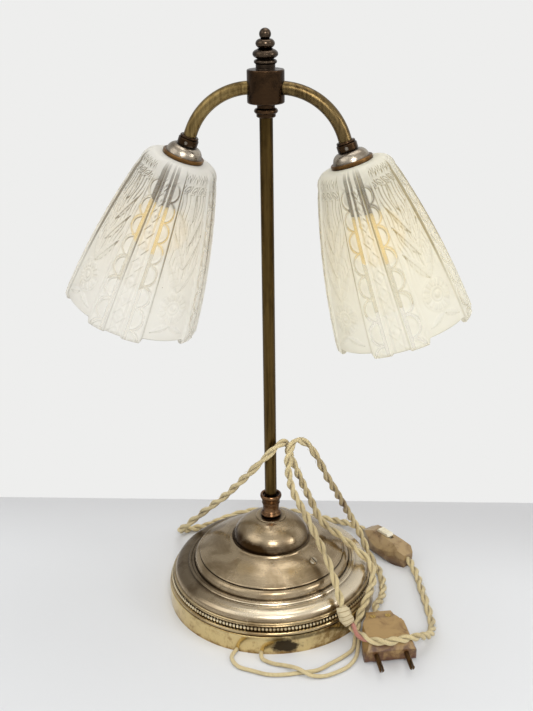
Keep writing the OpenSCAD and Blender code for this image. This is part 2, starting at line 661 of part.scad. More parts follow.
// The faceted boat shape of both halves together
module switch_body() {
  w = switch_w / 2;
  h = switch_h;
  swell = [for (i = [0 : 8]) let (x = i / 8)
    [switch_l * x, switch_end_w / 2 + (w - switch_end_w / 2) * pow(sin(180 * x), 0.8)]];
  back = [for (i = [8 : -1 : 0]) [swell[i][0], -swell[i][1]]];
  roof = [for (i = [0 : 8]) let (x = i / 8)
    [switch_l * x, switch_end_h + (h - switch_end_h) * min(1, 1.5 * pow(sin(180 * x), 0.9))]];
  intersection() {
    linear_extrude(h) polygon(concat(swell, back));
    rotate([90, 0, 90]) linear_extrude(switch_l)
      polygon([[-w + 3, 0], [w - 3, 0], [w, 4], [w, switch_split + 2], [slider_w - 1, h],
        [1 - slider_w, h], [-w, switch_split + 2], [-w, 4]]);
    translate([0, w, 0]) rotate([90, 0, 0]) linear_extrude(switch_w)
      polygon(concat([[switch_l, 0], [0, 0]], roof));
  }
}
module switch_room() {
  translate([12, -7, 3]) cube([switch_l - 24, 14, switch_h - switch_wall - 3]);
}
module switch_bolt(r) {
  for (x = [7, switch_l - 7]) translate([x, 0, 0.8]) cylinder(r = r, h = switch_end_h - 3, $fn = 24);
}
module switch_base() {
  color(bakelite) at_switch() difference() {
    intersection() {
      switch_body();
      translate([-1, -switch_w, 0]) cube([switch_l + 2, 2 * switch_w, switch_split]);
    }
    switch_room();
    switch_bolt(1.3 + slip);
    for (x = [7, switch_l - 7]) translate([x, 0, -1]) cylinder(r = 2.6, h = 3.6);
  }
}
module switch_cover() {
  color(bakelite) at_switch() difference() {
    intersection() {
      switch_body();
      translate([-1, -switch_w, switch_split]) cube([switch_l + 2, 2 * switch_w, switch_h]);
    }
    switch_room();
    switch_bolt(1.3 + slip);
    // Slot for the slider's stem
    translate([slider_x + (slider_l - stem_l) / 2 - loose, -slot_w / 2, switch_h - switch_wall - 1])
      cube([stem_l + switch_travel + 2 * loose, slot_w, switch_wall + 2]);
  }
}
module switch_screws() {
  color(steel) at_switch() {
    for (x = [7, switch_l - 7]) translate([x, 0, 0]) difference() {
      union() {
        translate([0, 0, 0.9]) cylinder(r = 1.3, h = switch_end_h - 3.2, $fn = 24);
        translate([0, 0, 0.8]) cylinder(r = 2.4, h = 1.7);
      }
      translate([-3, -0.4, 0.7]) cube([6, 0.8, 0.8]);
    }
  }
}
module switch_slider() {
  foot_h = 2;
  top = switch_h + loose;
  color([0.93, 0.89, 0.76]) at_switch() translate([slider_x, 0, 0]) {
    difference() {
      translate([0, slider_w / 2, 0]) rotate([90, 0, 0]) linear_extrude(slider_w)
        polygon([[0, top], [slider_l, top], [slider_l, top + 0.8], [slider_l - 1.4, top + slider_cap_h],
          [1.4, top + slider_cap_h], [0, top + 0.8]]);
      for (i = [-1 : 1]) translate([slider_l / 2 + 2.6 * i - 0.5, -slider_w, top + slider_cap_h - 0.7])
        cube([1, 2 * slider_w, 2]);
    }
    translate([(slider_l - stem_l) / 2, -stem_w / 2, switch_h - switch_wall - loose - foot_h + 0.5])
      cube([stem_l, stem_w, switch_wall + 2 * loose + foot_h]);
    translate([(slider_l - stem_l) / 2 - 2, -5, switch_h - switch_wall - loose - foot_h])
      cube([stem_l + 4, 10, foot_h]);
  }
}
// Two brass strips that the slider bridges
module switch_contacts() {
  color(bright_brass) at_switch() for (s = [-1, 1]) translate([0, 4 * s, 3]) {
    translate([14, -1.5, 0]) cube([22, 3, 0.8]);
    translate([14, -1.5, 0]) cube([4, 3, 4]);
    translate([32, -1.5, 0]) cube([0.8, 3, switch_h - switch_wall - 3 - 2 * loose - 2.3]);
  }
}

// ---- Plug ----
plug_split = plug_t / 2;
plug_end_w = 21;
clamp_l = 17;
clamp_drop = 0.8;
pin_in = 13;
pin_slot = 0.8;
// Each pin has a thinner root in the plug, which ends just outside its face
pin_root_r = pin_d / 2 - 0.4;
pin_step = 0.3;
module at_plug() {
  p = plug_route[len(plug_route) - 1];
  translate([p[0], p[1], 0]) rotate([0, 0, -74]) children();
}
// Outline from above: rounded at the flex, widening in a soft curve to the face
function plug_side(s) = concat(
  arc([3.5, s * (plug_end_w / 2 - 3.5)], 3.5, s * 3.5, 180, 90, 4),
  cubic([9, s * (plug_end_w / 2 + 1)], [18, s * (plug_w / 2 - 4)], [30, s * (plug_w / 2 - 0.6)],
    [plug_l - 7, s * plug_w / 2], 7),
  arc([plug_l - 3, s * (plug_w / 2 - 3)], 3, s * 3, 90, 0, 4));
module plug_body() {
  left = plug_side(1);
  right = plug_side(-1);
  intersection() {
    linear_extrude(plug_t) polygon(concat(left, [for (i = [len(right) - 1 : -1 : 0]) right[i]]));
    translate([0, plug_w, 0]) rotate([90, 0, 0]) linear_extrude(2 * plug_w)
      polygon([[0, 2.4], [2.4, 0], [plug_l - 3, 0], [plug_l, 3], [plug_l, plug_t - 5],
        [plug_l - 5, plug_t], [14, plug_t], [3, plug_t - 1.4], [0, plug_t - 3.6]]);
    rotate([90, 0, 90]) linear_extrude(plug_l)
      polygon([[-plug_w / 2, 0], [plug_w / 2, 0], [plug_w / 2, plug_split], [plug_w / 2 - 4, plug_t],
        [4 - plug_w / 2, plug_t], [-plug_w / 2, plug_split]]);
  }
}
module plug_holes() {
  for (s = [-1, 1]) translate([plug_l - pin_in - slip, s * pin_pitch / 2, plug_split])
    rotate([0, 90, 0]) {
      cylinder(r = pin_root_r + slip, h = pin_in + 2);
      cylinder(r = pin_d / 2 + 1.5 + slip, h = 7 + 2 * slip);
    }
  translate([plug_l - pin_in - 8, -plug_w / 2 + 6, plug_split - 4]) cube([8, plug_w - 12, 8]);
  translate([5, -4, plug_split - 4]) cube([plug_l - pin_in - 12, 8, 8]);
}
module plug_bolt(x, y, r, h) {
  translate([x, y, plug_t - h]) cylinder(r = r, h = h, $fn = 24);
}
clamp_bolt_y = 6.2;
clamp_bolt_x = 10.5;
module plug_base() {
  color(bakelite) at_plug() difference() {
    intersection() {
      plug_body();
      translate([-1, -plug_w, 0]) cube([plug_l + 2, 2 * plug_w, plug_split]);
    }
    plug_holes();
    for (s = [-1, 1]) plug_bolt(clamp_bolt_x, s * clamp_bolt_y, 1.5 + slip, plug_t - 3);
  }
}
module plug_cover() {
  color(bakelite) at_plug() difference() {
    intersection() {
      plug_body();
      translate([clamp_l + slip, -plug_w, plug_split]) cube([plug_l, 2 * plug_w, plug_split]);
    }
    plug_holes();
  }
}
// The part of the upper half that grips the flex
module plug_clamp() {
  color(bakelite) at_plug() difference() {
    intersection() {
      translate([0, 0, -clamp_drop]) plug_body();
      translate([-1, -plug_w, plug_split]) cube([clamp_l + 1 - slip, 2 * plug_w, plug_split]);
    }
    plug_holes();
    for (s = [-1, 1]) {
      plug_bolt(clamp_bolt_x, s * clamp_bolt_y, 1.5 + slip, plug_t - 2);
      plug_bolt(clamp_bolt_x, s * clamp_bolt_y, 2.7, 2.8);
    }
  }
}
module plug_screws() {
  top = plug_t - clamp_drop;
  color(bright_brass) at_plug() for (s = [-1, 1]) translate([clamp_bolt_x, s * clamp_bolt_y, 0])
    difference() {
      union() {
        translate([0, 0, 3.2]) cylinder(r = 1.5, h = top - 4, $fn = 24);
        translate([0, 0, plug_t - 2.8]) cylinder(r = 2.5, h = 1.8);
      }
      translate([-3, -0.4, plug_t - 1.8]) cube([6, 0.8, 2]);
    }
}
module plug_pins() {
  color([0.42, 0.33, 0.2]) at_plug() for (s = [-1, 1])
    translate([plug_l - pin_in, s * pin_pitch / 2, plug_split]) rotate([0, 90, 0]) difference() {
      union() {
        cylinder(r = pin_root_r, h = pin_in + pin_step + 0.1);
        translate([0, 0, pin_in + pin_step]) cylinder(r = pin_d / 2, h = pin_l - pin_step - 0.8);
        cylinder(r = pin_d / 2 - 0.8, h = pin_in + pin_l);
        translate([0, 0, slip]) cylinder(r = pin_d / 2 + 1.5, h = 7);
      }
      translate([-pin_d, -pin_slot / 2, pin_in + pin_l - 8]) cube([2 * pin_d, pin_slot, 10]);
    }
}

plinth();
bead_ring();
bead_strip();
base_shell();
base_screw();
base_weight();
felt_pad();
weight_washer();
weight_nut();
dome_nut();
lower_collar();
stem_tube();
upper_collar();
hub();
hub_splice();
finial();
stem_wires();
base_wires();
mirror([1, 0, 0]) arm(bend_left);  // arm_left
mirror([1, 0, 0]) arm_nut(bend_left);  // arm_nut_left
mirror([1, 0, 0]) cup(bend_left);  // cup_left
mirror([1, 0, 0]) cup_screw(bend_left);  // cup_screw_left
mirror([1, 0, 0]) rim(bend_left);  // rim_left
mirror([1, 0, 0]) holder(bend_left);  // holder_left
mirror([1, 0, 0]) insulator(bend_left);  // insulator_left
mirror([1, 0, 0]) screw_shell(bend_left);  // screw_shell_left
mirror([1, 0, 0]) shade(bend_left);  // shade_left
mirror([1, 0, 0]) shade_ring(bend_left);  // shade_ring_left
mirror([1, 0, 0]) bulb_cap(bend_left);  // bulb_cap_left
mirror([1, 0, 0]) bulb(bend_left);  // bulb_left
mirror([1, 0, 0]) arm_wires(bend_left);  // arm_wires_left
arm(bend_right);  // arm_right
arm_nut(bend_right);  // arm_nut_right
cup(bend_right);  // cup_right
cup_screw(bend_right);  // cup_screw_right
rim(bend_right);  // rim_right
holder(bend_right);  // holder_right
insulator(bend_right);  // insulator_right
screw_shell(bend_right);  // screw_shell_right
shade(bend_right);  // shade_right
shade_ring(bend_right);  // shade_ring_right
bulb_cap(bend_right);  // bulb_cap_right
bulb(bend_right);  // bulb_right
arm_wires(bend_right);  // arm_wires_right
lead_a();
lead_b();
flex_to_switch();
switch_base();
switch_cover();
switch_screws();
switch_slider();
switch_contacts();
flex_to_splice();
splice_wrap();
flex_to_plug();
plug_base();
plug_cover();
plug_clamp();
plug_screws();
plug_pins();
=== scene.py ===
import math

import bpy
import numpy as np
from mathutils import Matrix, Vector


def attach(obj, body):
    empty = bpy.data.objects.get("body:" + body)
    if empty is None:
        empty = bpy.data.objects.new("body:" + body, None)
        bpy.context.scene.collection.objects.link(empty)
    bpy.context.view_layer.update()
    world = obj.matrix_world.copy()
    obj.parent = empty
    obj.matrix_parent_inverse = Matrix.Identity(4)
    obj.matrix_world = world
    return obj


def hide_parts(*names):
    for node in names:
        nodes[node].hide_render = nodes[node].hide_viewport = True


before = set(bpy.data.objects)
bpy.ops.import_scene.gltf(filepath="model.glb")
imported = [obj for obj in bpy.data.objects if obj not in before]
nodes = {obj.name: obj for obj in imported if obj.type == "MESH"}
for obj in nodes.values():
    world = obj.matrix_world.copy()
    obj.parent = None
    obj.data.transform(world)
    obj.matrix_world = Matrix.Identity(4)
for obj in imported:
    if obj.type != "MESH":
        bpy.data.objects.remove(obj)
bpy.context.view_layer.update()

# ---- Sizes of the lamp, in millimetres, as its CAD has them ----
MM = 0.001
ARM_Z = 431.8
BEND_X = 10.0
BEND_R = 49.8
BEND = {"left": 69.0, "right": 71.5}  # degrees
GLASS_AT = 21.0  # from the end of an arm's bend to the top of its shade
NECK_AT = 11.0  # from the same place to the foot of the neck of its cup
SHADE_L = 130.4
SHADE_R = 52.8
SHOULDER_R = 28.6
TOP_FLAT_R = SHOULDER_R - 7.2
INNER_FLAT_R = TOP_FLAT_R - 1
SHOULDER_H = 10.0
GLASS_T = 3.6
LIP_R = 1.2
PILASTER_H = 1.3
TAB_L = 4.5
HOLE_R = 14.3
LEAD_D = 3.2
FLEX_D = 6.6
STRAND_R = 1.7
TWIST_PITCH = 25.0
DOME_R = 34.0
BEADS = 180
BEAD_R, BEAD_H = 1.48, 1.75
BEAD_RING_R = 85.7
BEAD_Z = 21.6


# ---- Camera, where the photograph was taken ----
PHOTO_W, PHOTO_H = 533, 711
FOCAL_PX = 1006
CAMERA_TURN, CAMERA_YAW = 9.1, 0.16
CAMERA_PITCH, CAMERA_ROLL = 21.95, -0.78
CAMERA_BACK, CAMERA_UP = 0.7482, 0.5242


def make_camera():
    turn, yaw = math.radians(CAMERA_TURN), math.radians(CAMERA_TURN + CAMERA_YAW)
    pitch, roll = math.radians(CAMERA_PITCH), math.radians(CAMERA_ROLL)
    level = Vector((-math.sin(yaw), math.cos(yaw), 0))
    ahead = level * math.cos(pitch) - Vector((0, 0, math.sin(pitch)))
    flat_right = ahead.cross(Vector((0, 0, 1))).normalized()
    flat_up = flat_right.cross(ahead)
    right = flat_right * math.cos(roll) + flat_up * math.sin(roll)
    up = flat_up * math.cos(roll) - flat_right * math.sin(roll)
    data = bpy.data.cameras.new("photo_camera")
    data.sensor_width = 36
    data.lens = data.sensor_width * FOCAL_PX / max(PHOTO_W, PHOTO_H)
    camera = bpy.data.objects.new("photo_camera", data)
    place = Vector((math.sin(turn) * CAMERA_BACK, -math.cos(turn) * CAMERA_BACK, CAMERA_UP))
    turned = Matrix((right, up, -ahead)).transposed().to_4x4()
    camera.matrix_world = Matrix.Translation(place) @ turned
    bpy.context.scene.collection.objects.link(camera)
    bpy.context.scene.camera = camera


# ---- Meshes ----
def add_mesh(name, points, faces, material, numbers=None):
    """A mesh object from points in millimetres. numbers holds point attributes:
    one column is a float, and three are a vector."""
    mesh = bpy.data.meshes.new(name)
    mesh.from_pydata((np.asarray(points, float) * MM).tolist(), [], faces)
    for key, values in (numbers or {}).items():
        values = np.asarray(values, np.float32)
        kind, field = ("FLOAT", "value") if values.ndim == 1 else ("FLOAT_VECTOR", "vector")
        mesh.attributes.new(key, kind, "POINT").data.foreach_set(field, values.ravel())
    mesh.shade_smooth()
    mesh.materials.append(material)
    piece = bpy.data.objects.new(name, mesh)
    bpy.context.scene.collection.objects.link(piece)
    return piece


def stand_in(piece, node):
    """Shows the piece in the place of a node of the CAD, on the body of the lamp."""
    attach(piece, "lamp")
    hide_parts(node)


def grid_faces(rows, columns, offset=0, closed_rows=False):
    """Quads between rows of points. Each row is a closed ring, and closed_rows joins
    the last row to the first."""
    i = np.arange(rows if closed_rows else rows - 1)[:, None]
    k = np.arange(columns)[None, :]
    below, beside = (i + 1) % rows, (k + 1) % columns
    corners = (i * columns + k, below * columns + k, below * columns + beside, i * columns + beside)
    return (np.stack(corners, -1).reshape(-1, 4) + offset).tolist()


def arm_end(side):
    """The place of the end of an arm's bend, with Z down along its shade's axis, in millimetres."""
    place = (
        Matrix.Translation((BEND_X, 0, ARM_Z - BEND_R))
        @ Matrix.Rotation(math.radians(BEND[side]), 4, "Y")
        @ Matrix.Translation((0, 0, BEND_R))
        @ Matrix.Rotation(math.radians(90), 4, "Y")
    )
    return np.array(Matrix.Scale(-1, 4, (1, 0, 0)) @ place if side == "left" else place)


def placed(points, matrix):
    return points @ matrix[:3, :3].T + matrix[:3, 3]


# ---- Shader maths ----
def seen(r, g, b):
    """The linear colour that shows as r, g, b of 255."""
    parts = [c / 255 for c in (r, g, b)]
    return tuple(p / 12.92 if p < 0.04045 else ((p + 0.055) / 1.055) ** 2.4 for p in parts) + (1.0,)


class Signal:
    """A shader socket in an expression: each operator adds a Math node."""

    def __init__(self, shader, socket):
        self.shader, self.socket = shader, socket

    def math(self, operation, *values):
        settings = {"operation": operation}
        return self.shader.node("ShaderNodeMath", settings, dict(enumerate(values)))

    def __add__(self, other):
        return self.math("ADD", self, other)

    __radd__ = __add__

    def __sub__(self, other):
        return self.math("SUBTRACT", self, other)

    def __rsub__(self, other):
        return self.math("SUBTRACT", other, self)

    def __mul__(self, other):
        return self.math("MULTIPLY", self, other)

    __rmul__ = __mul__

    def __truediv__(self, other):
        return self.math("DIVIDE", self, other)

    def __pow__(self, other):
        return self.math("POWER", self, other)

    def sine(self):
        return self.math("SINE", self)

    def largest(self, other):
        return self.math("MAXIMUM", self, other)

    def ramp(self, low, high, start=0.0, end=1.0):
        """start below low, end above high, and a soft change between them."""
        settings = {"interpolation_type": "SMOOTHSTEP"}
        values = {0: self, 1: low, 2: high, 3: start, 4: end}
        return self.shader.node("ShaderNodeMapRange", settings, values)

    def fall(self, low, high):
        """1 below low and 0 above high."""
        return self.ramp(low, high, 1.0, 0.0)


class Shader:
    """A node tree under construction."""

    def __init__(self, tree):
        self.tree = tree
        tree.nodes.clear()

    def node(self, kind, settings=None, values=None, output=0):
        made = self.tree.nodes.new(kind)
        for key, value in (settings or {}).items():
            setattr(made, key, value)
        for key, value in (values or {}).items():
            if isinstance(value, Signal):
                self.tree.links.new(value.socket, made.inputs[key])
            else:
                made.inputs[key].default_value = value
        return Signal(self, made.outputs[output])

    def place(self):
        return self.node("ShaderNodeTexCoord", output="Object")

    def number(self, attribute, part="Fac"):
        return self.node("ShaderNodeAttribute", {"attribute_name": attribute}, output=part)

    def parts(self, vector):
        """The x, y and z of a vector."""
        separate = self.node("ShaderNodeSeparateXYZ", values={0: vector}).socket.node
        return [Signal(self, socket) for socket in separate.outputs]

    def vector(self, x, y, z):
        return self.node("ShaderNodeCombineXYZ", values={0: x, 1: y, 2: z})

    def scaled(self, vector, factors):
        settings = {"operation": "MULTIPLY"}
        return self.node("ShaderNodeVectorMath", settings, {0: vector, 1: factors})

    def noise(self, at, scale, detail=4.0, rough=0.55, distortion=0.0):
        values = {"Vector": at, "Scale": scale, "Detail": detail, "Roughness": rough}
        return self.node("ShaderNodeTexNoise", values=values | {"Distortion": distortion})

    def mix(self, first, second, factor):
        """A colour from first, at factor 0, to second, at 1."""
        settings = {"data_type": "RGBA"}
        return self.node("ShaderNodeMix", settings, {0: factor, 6: first, 7: second}, output=2)

    def shaded(self, colour, light):
        """colour times light, a plain number or a Signal."""
        settings = {"data_type": "RGBA", "blend_type": "MULTIPLY"}
        grey = self.vector(light, light, light)
        return self.node("ShaderNodeMix", settings, {0: 1.0, 6: colour, 7: grey}, output=2)

    def bump(self, height, depth):
        """height from 0 to 1 stands depth metres proud."""
        values = {"Height": height, "Distance": depth, "Strength": 1.0}
        return self.node("ShaderNodeBump", values=values)

    def hollows(self, reach):
        """0 in the open and near 1 in a crevice, looked for within so many metres."""
        settings = {"samples": 6, "only_local": False}
        return 1 - self.node("ShaderNodeAmbientOcclusion", settings, {"Distance": reach}, output="AO")

    def glow(self, kind, colour, strength=1.0):
        """An Emission or a Background node."""
        return self.node(kind, values={"Color": colour, "Strength": strength})

    def blend(self, first, second, factor):
        """A Mix Shader, from first, at factor 0, to second, at 1."""
        return self.node("ShaderNodeMixShader", values={0: factor, 1: first, 2: second})

    def show(self, surface, kind="ShaderNodeOutputMaterial"):
        out = self.tree.nodes.new(kind)
        self.tree.links.new(surface.socket, out.inputs["Surface"])


def new_material(name):
    material = bpy.data.materials.new(name)
    material.use_nodes = True
    return material, Shader(material.node_tree)


def finished(name, build):
    """A material whose surface is the Principled shader with the values that build gives."""
    material, shader = new_material(name)
    shader.show(shader.node("ShaderNodeBsdfPrincipled", values=build(shader)))
    return material


# ---- Metal finishes ----
def off_axis(x, y):
    """How far a place is from the lamp's axis."""
    return (x * x + y * y) ** 0.5


# The near white of a painted highlight
HIGHLIGHT_BRASS = seen(236, 222, 196)


def aged_metal(name, colours, rough=0.3, cloud=40, hollow=0.004, brown=None, worn=None):
    """Turned metal with tarnish in clouds, fine rings from its making, and grime and painted shade in
    its hollows.
    colours are its bright and dull tones and the tone of its grime and painted shade. brown gives a
    colour and a mask, for a painted dark reflection on the base's dome or the dark neck of a cup, and
    worn gives masks of a painted highlight and of painted shade. A mask is a function of x, y and z, in
    metres."""
    bright, dull, grime_and_shade = colours

    def build(s):
        at = s.place()
        x, y, z = s.parts(at)
        clouds = s.noise(at, cloud, 6, 0.6, 0.4).ramp(0.36, 0.66)
        rings = s.noise(s.vector(off_axis(x, y), z, 0.0), 900, 3, 0.6)
        specks = s.noise(at, 1400, 2, 0.7).ramp(0.6, 0.75)
        colour = s.mix(bright, dull, (clouds * 0.75 + (rings - 0.5) * 0.5).ramp(0.0, 1.0))
        # brown: a painted dark reflection on the base's dome, or the dark neck of a cup
        if brown:
            stain, mask = brown
            colour = s.mix(colour, stain, (mask(x, y, z) * (0.7 + clouds * 0.5)).ramp(0.05, 0.9))
        # worn gives a painted highlight and painted shade
        if worn:
            highlight_mask, shade_mask = worn(x, y, z)
            colour = s.mix(colour, HIGHLIGHT_BRASS, highlight_mask * 0.75)
            colour = s.mix(colour, grime_and_shade, shade_mask * 0.6)
        # Grime and painted shade where the hollows are, with a few dark specks
        colour = s.mix(colour, grime_and_shade, (s.hollows(hollow) * 1.5).ramp(0.05, 0.9) + specks * 0.12)
        return {
            "Base Color": colour,
            "Metallic": 1.0,
            "Roughness": rough + clouds * 0.12 + (rings - 0.5) * 0.1,
            "Normal": s.bump(rings * 0.6 + specks * 0.2, 0.00006),
        }

    return finished(name, build)


def dome_foot_reflection(x, y, _):
    """1 on the lower part of the base's dome, a painted dark reflection of the cove below it,
    and less at its right."""
    out = off_axis(x, y)
    on_dome = out.ramp((DOME_R - 8.5) * MM, (DOME_R - 1.5) * MM)
    on_dome = on_dome * out.fall((DOME_R - 0.5) * MM, (DOME_R + 0.5) * MM)
    return on_dome * x.ramp(0.0, 0.025, 1.0, 0.4)


# How far from the axis the cover's roll softly begins and ends, in metres
ROLL_STARTS, ROLL_ENDS = (0.066, 0.069), (0.0815, 0.0835)


def roll_highlight_and_shade(x, y, _):
    """A painted highlight on the front and the right of the cover's roll, and painted shade on its
    left.
    """
    out = off_axis(x, y)
    roll = out.ramp(*ROLL_STARTS) * out.fall(*ROLL_ENDS)
    return roll * x.ramp(-0.045, 0.0), roll * x.fall(-0.066, -0.03)


def neck_of(side):
    """A mask that is 1 on the neck of a bell cup, above its bell."""
    place = arm_end(side)
    way_x, _, way_z = place[:3, 2].tolist()
    first = float(place[:3, 2] @ place[:3, 3] + NECK_AT) * MM
    soft = 0.0006

    def mask(x, _, z):
        return (x * way_x + z * way_z - first).fall(-soft, soft)

    return mask


def tube_metal(name, bright, dull, deep):
    """Old lamp tube: brown lacquer worn through to brass in long streaks."""

    def build(s):
        at = s.place()
        streak = s.noise(s.scaled(at, (1, 1, 0.03)), 420, 5, 0.6)
        clouds = s.noise(s.scaled(at, (1, 1, 0.35)), 45, 5, 0.6, 0.3)
        worn = (streak * 0.55 + clouds * 0.6).ramp(0.40, 0.72)
        colour = s.mix(dull, bright, worn)
        return {
            "Base Color": s.mix(colour, deep, (streak * clouds).ramp(0.30, 0.42) * 0.55),
            "Metallic": 1.0,
            "Roughness": 0.24 + streak * 0.15,
            "Normal": s.bump(streak, 0.00005),
        }

    return finished(name, build)


# The painted dark reflection on the plinth's front: its middle and half its size, across and up, in
# millimetres
DARK_REFLECTION_AT, DARK_REFLECTION_SIZE = (23.5, 7.5), (11.5, 6.5)


def plinth_metal(name):
    """Polished brass band with pale brown age marks, a painted dark line under its top that is the
    reflection of the ring's shadow, one painted dark reflection in front with a reddish foot, and
    painted shade towards its right."""

    def build(s):
        at = s.place()
        x, y, z = s.parts(at)
        wander = s.noise(at, 120, 5, 0.7)
        fine = s.noise(s.scaled(at, (1, 1, 0.3)), 900, 4, 0.6)
        brown = (wander * 0.8 + fine * 0.35 + z.fall(0.0, 0.004) * 0.14).ramp(0.55, 0.85)
        colour = s.mix(seen(218, 196, 144), seen(146, 114, 66), brown)
        aside = (x - DARK_REFLECTION_AT[0] * MM) / (DARK_REFLECTION_SIZE[0] * MM)
        above = (z - DARK_REFLECTION_AT[1] * MM) / (DARK_REFLECTION_SIZE[1] * MM)
        spread = (aside * aside + above * above) ** 0.5 + (wander - 0.5) * 1.9
        front = y.ramp(-0.05, -0.06)
        # stain here is the painted dark reflection in front
        stain = spread.ramp(0.65, 1.15, 0.95, 0.0) * front
        # A painted reflection of the ring's shadow, under the top at the front and right
        ring_shadow_reflection = z.ramp(0.0115, 0.0135) * x.ramp(0.0, 0.02) * front * wander.ramp(0.3, 0.5)
        reddish_foot = spread.fall(0.95, 1.25) * z.fall(0.0, 0.005) * front
        colour = s.mix(colour, seen(120, 74, 44), reddish_foot * 0.8)
        colour = s.mix(colour, seen(44, 35, 28), stain.largest(ring_shadow_reflection * 0.7))
        # Painted shade: darker brown towards the right
        colour = s.mix(colour, seen(132, 102, 58), x.ramp(0.035, 0.06) * wander.ramp(0.35, 0.6) * 0.8)
        spots = s.noise(at, 700, 3, 0.7).ramp(0.66, 0.76)
        return {
            "Base Color": s.mix(colour, seen(72, 50, 30), spots * 0.7),
            "Metallic": 1.0,
            "Roughness": 0.10 + brown * 0.16 + stain * 0.25 + fine * 0.05,
            "Normal": s.bump(fine * 0.3 + wander * 0.7, 0.00008),
        }

    return finished(name, build)


def plain_finish(name, colour, rough, metal=0.0, grain=600.0, depth=0.00005):
    """A modest finish for pieces that are hidden or small: slight clouds and grain."""
    vary = 0.12

    def build(s):
        at = s.place()
        clouds = s.noise(at, grain / 8, 4)
        fine = s.noise(at, grain, 4)
        return {
            "Base Color": s.shaded(colour, 1 - vary + (clouds + fine) * vary),
            "Metallic": metal,
            "Roughness": rough + (fine - 0.5) * 0.15,
            "Normal": s.bump(fine, depth),
        }

    return finished(name, build)


# ---- Cloth, plastic and glass finishes ----
# The braid's strands: how many run round a conductor, and the millimetres along it that one needs
STRANDS, STRAND_STEP = 9, 1.9


def braided_cloth(name, pale, shade, dirt_and_shade):
    """Cloth braid over a conductor, browner higher up at the right, between the base and the switch,
    with dirt and painted shade in its crevices.
    The point attribute lay holds millimetres along it and turns round it, and bare is 1 where the braid
    has worn away from the rubber."""

    def build(s):
        along, around, _ = s.parts(s.number("lay", "Vector"))
        right = ((around * STRANDS + along / STRAND_STEP) * math.tau).sine()
        left = ((around * STRANDS - along / STRAND_STEP) * math.tau).sine()
        weave = (right * left * 0.5 + 0.5).ramp(0.1, 0.9)
        at = s.place()
        x, _, z = s.parts(at)
        clouds = s.noise(at, 70, 5, 0.65)
        fibres = s.noise(at, 2200, 3, 0.75)
        colour = s.mix(shade, pale, weave * 0.6 + (fibres - 0.5) * 1.3 + 0.25)
        browner_up_right = x.ramp(0.02, 0.06) * z.ramp(0.04, 0.08) * 0.45
        # Dirt in clouds, painted shade in the crevices of the twist, and browner higher up at the right
        colour = s.mix(colour, dirt_and_shade, clouds.ramp(0.48, 0.8) * 0.6 + s.hollows(0.0025) * 0.75 + browner_up_right)
        rubber = s.number("bare") * fibres.ramp(0.3, 0.5)
        return {
            "Base Color": s.mix(colour, seen(196, 120, 108), rubber),
            "Roughness": 0.85,
            "Sheen Weight": 0.25,
            "Normal": s.bump(weave * 0.8 + fibres * 0.7, 0.0004),
        }

    return finished(name, build)


def old_bakelite(name, pale, dark, edge, nose=None):
    """Tan moulding with brown clouds, darker and browner low down.
    nose gives the start and direction of a browner front, in metres."""

    def build(s):
        at = s.place()
        x, y, z = s.parts(at)
        clouds = s.noise(at, 90, 6, 0.6, 0.8)
        fine = s.noise(at, 1500, 3, 0.6)
        colour = s.mix(pale, dark, (clouds + z.ramp(0.006, 0.013, 0.22, 0.0)).ramp(0.4, 0.8))
        stain = clouds + z.ramp(0.0, 0.007, 0.3, 0.0)
        if nose:
            (start_x, start_y), (way_x, way_y) = nose
            forward = (x - start_x) * way_x + (y - start_y) * way_y
            stain = stain + forward.ramp(0.042, 0.049, 0.0, 0.3)
        return {
            "Base Color": s.mix(colour, edge, stain.ramp(0.6, 0.9) * 0.85),
            "Roughness": 0.3 + clouds * 0.18,
            "Coat Weight": 0.2,
            "Normal": s.bump(fine * 0.4 + clouds, 0.0001),
        }

    return finished(name, build)


GLOW = 0.5  # how much of the milky glass passes light on softly
SEE_THROUGH, CLEARER = 0.16, 0.68  # how far glass is seen through, and how much further where clear


def pressed_glass(name, tint, relief_shade_tint):
    """Satin pressed glass. Point attributes: clear is 1 where it can be seen through,
    and edge is 1 where its relief turns away, which takes relief_shade_tint as painted shade."""
    material, s = new_material(name)
    at = s.place()
    clear, edge = s.number("clear"), s.number("edge")
    grain = s.noise(at, 1300, 4, 0.7)
    clouds = s.noise(at, 60, 4, 0.6)
    specks = s.noise(at, 330, 2, 0.5).ramp(0.79, 0.82)
    # The relief's painted shade, with a little from the clouds
    colour = s.mix(tint, relief_shade_tint, (clouds * 0.25 + edge).ramp(0.1, 1.1))
    colour = s.mix(colour, seen(112, 70, 48), specks * 0.8)
    values = {
        "Base Color": colour,
        "Roughness": 0.3 + grain * 0.12,
        "IOR": 1.5,
        "Normal": s.bump(grain, 0.00006),
    }
    satin = s.node("ShaderNodeBsdfPrincipled", values=values)
    glow = s.node("ShaderNodeBsdfTranslucent", values={"Color": colour})
    through = s.node("ShaderNodeBsdfTransparent", values={"Color": seen(252, 250, 245)})
    s.show(s.blend(s.blend(satin, glow, GLOW), through, SEE_THROUGH + clear * CLEARER))
    return material


def frosted_bulb(name):
    def build(s):
        clouds = s.noise(s.place(), 60, 3)
        return {
            "Base Color": s.mix(seen(238, 206, 120), seen(244, 222, 158), clouds),
            "Roughness": 0.3,
            "Emission Color": seen(255, 214, 110),
            "Emission Strength": 0.12,
        }

    return finished(name, build)


# ---- Floor, backdrop and lights ----
ROOM = seen(238, 238, 237)
# Two places on the line across the floor where the photograph's wall begins, in metres
WALL_LINE = (Vector((-0.3048, 0.1214)), Vector((0.2402, 0.1830)))
FLOOR_HALF = 6000.0  # millimetres
LIGHT_AIM = Vector((0, 0, 0.2))


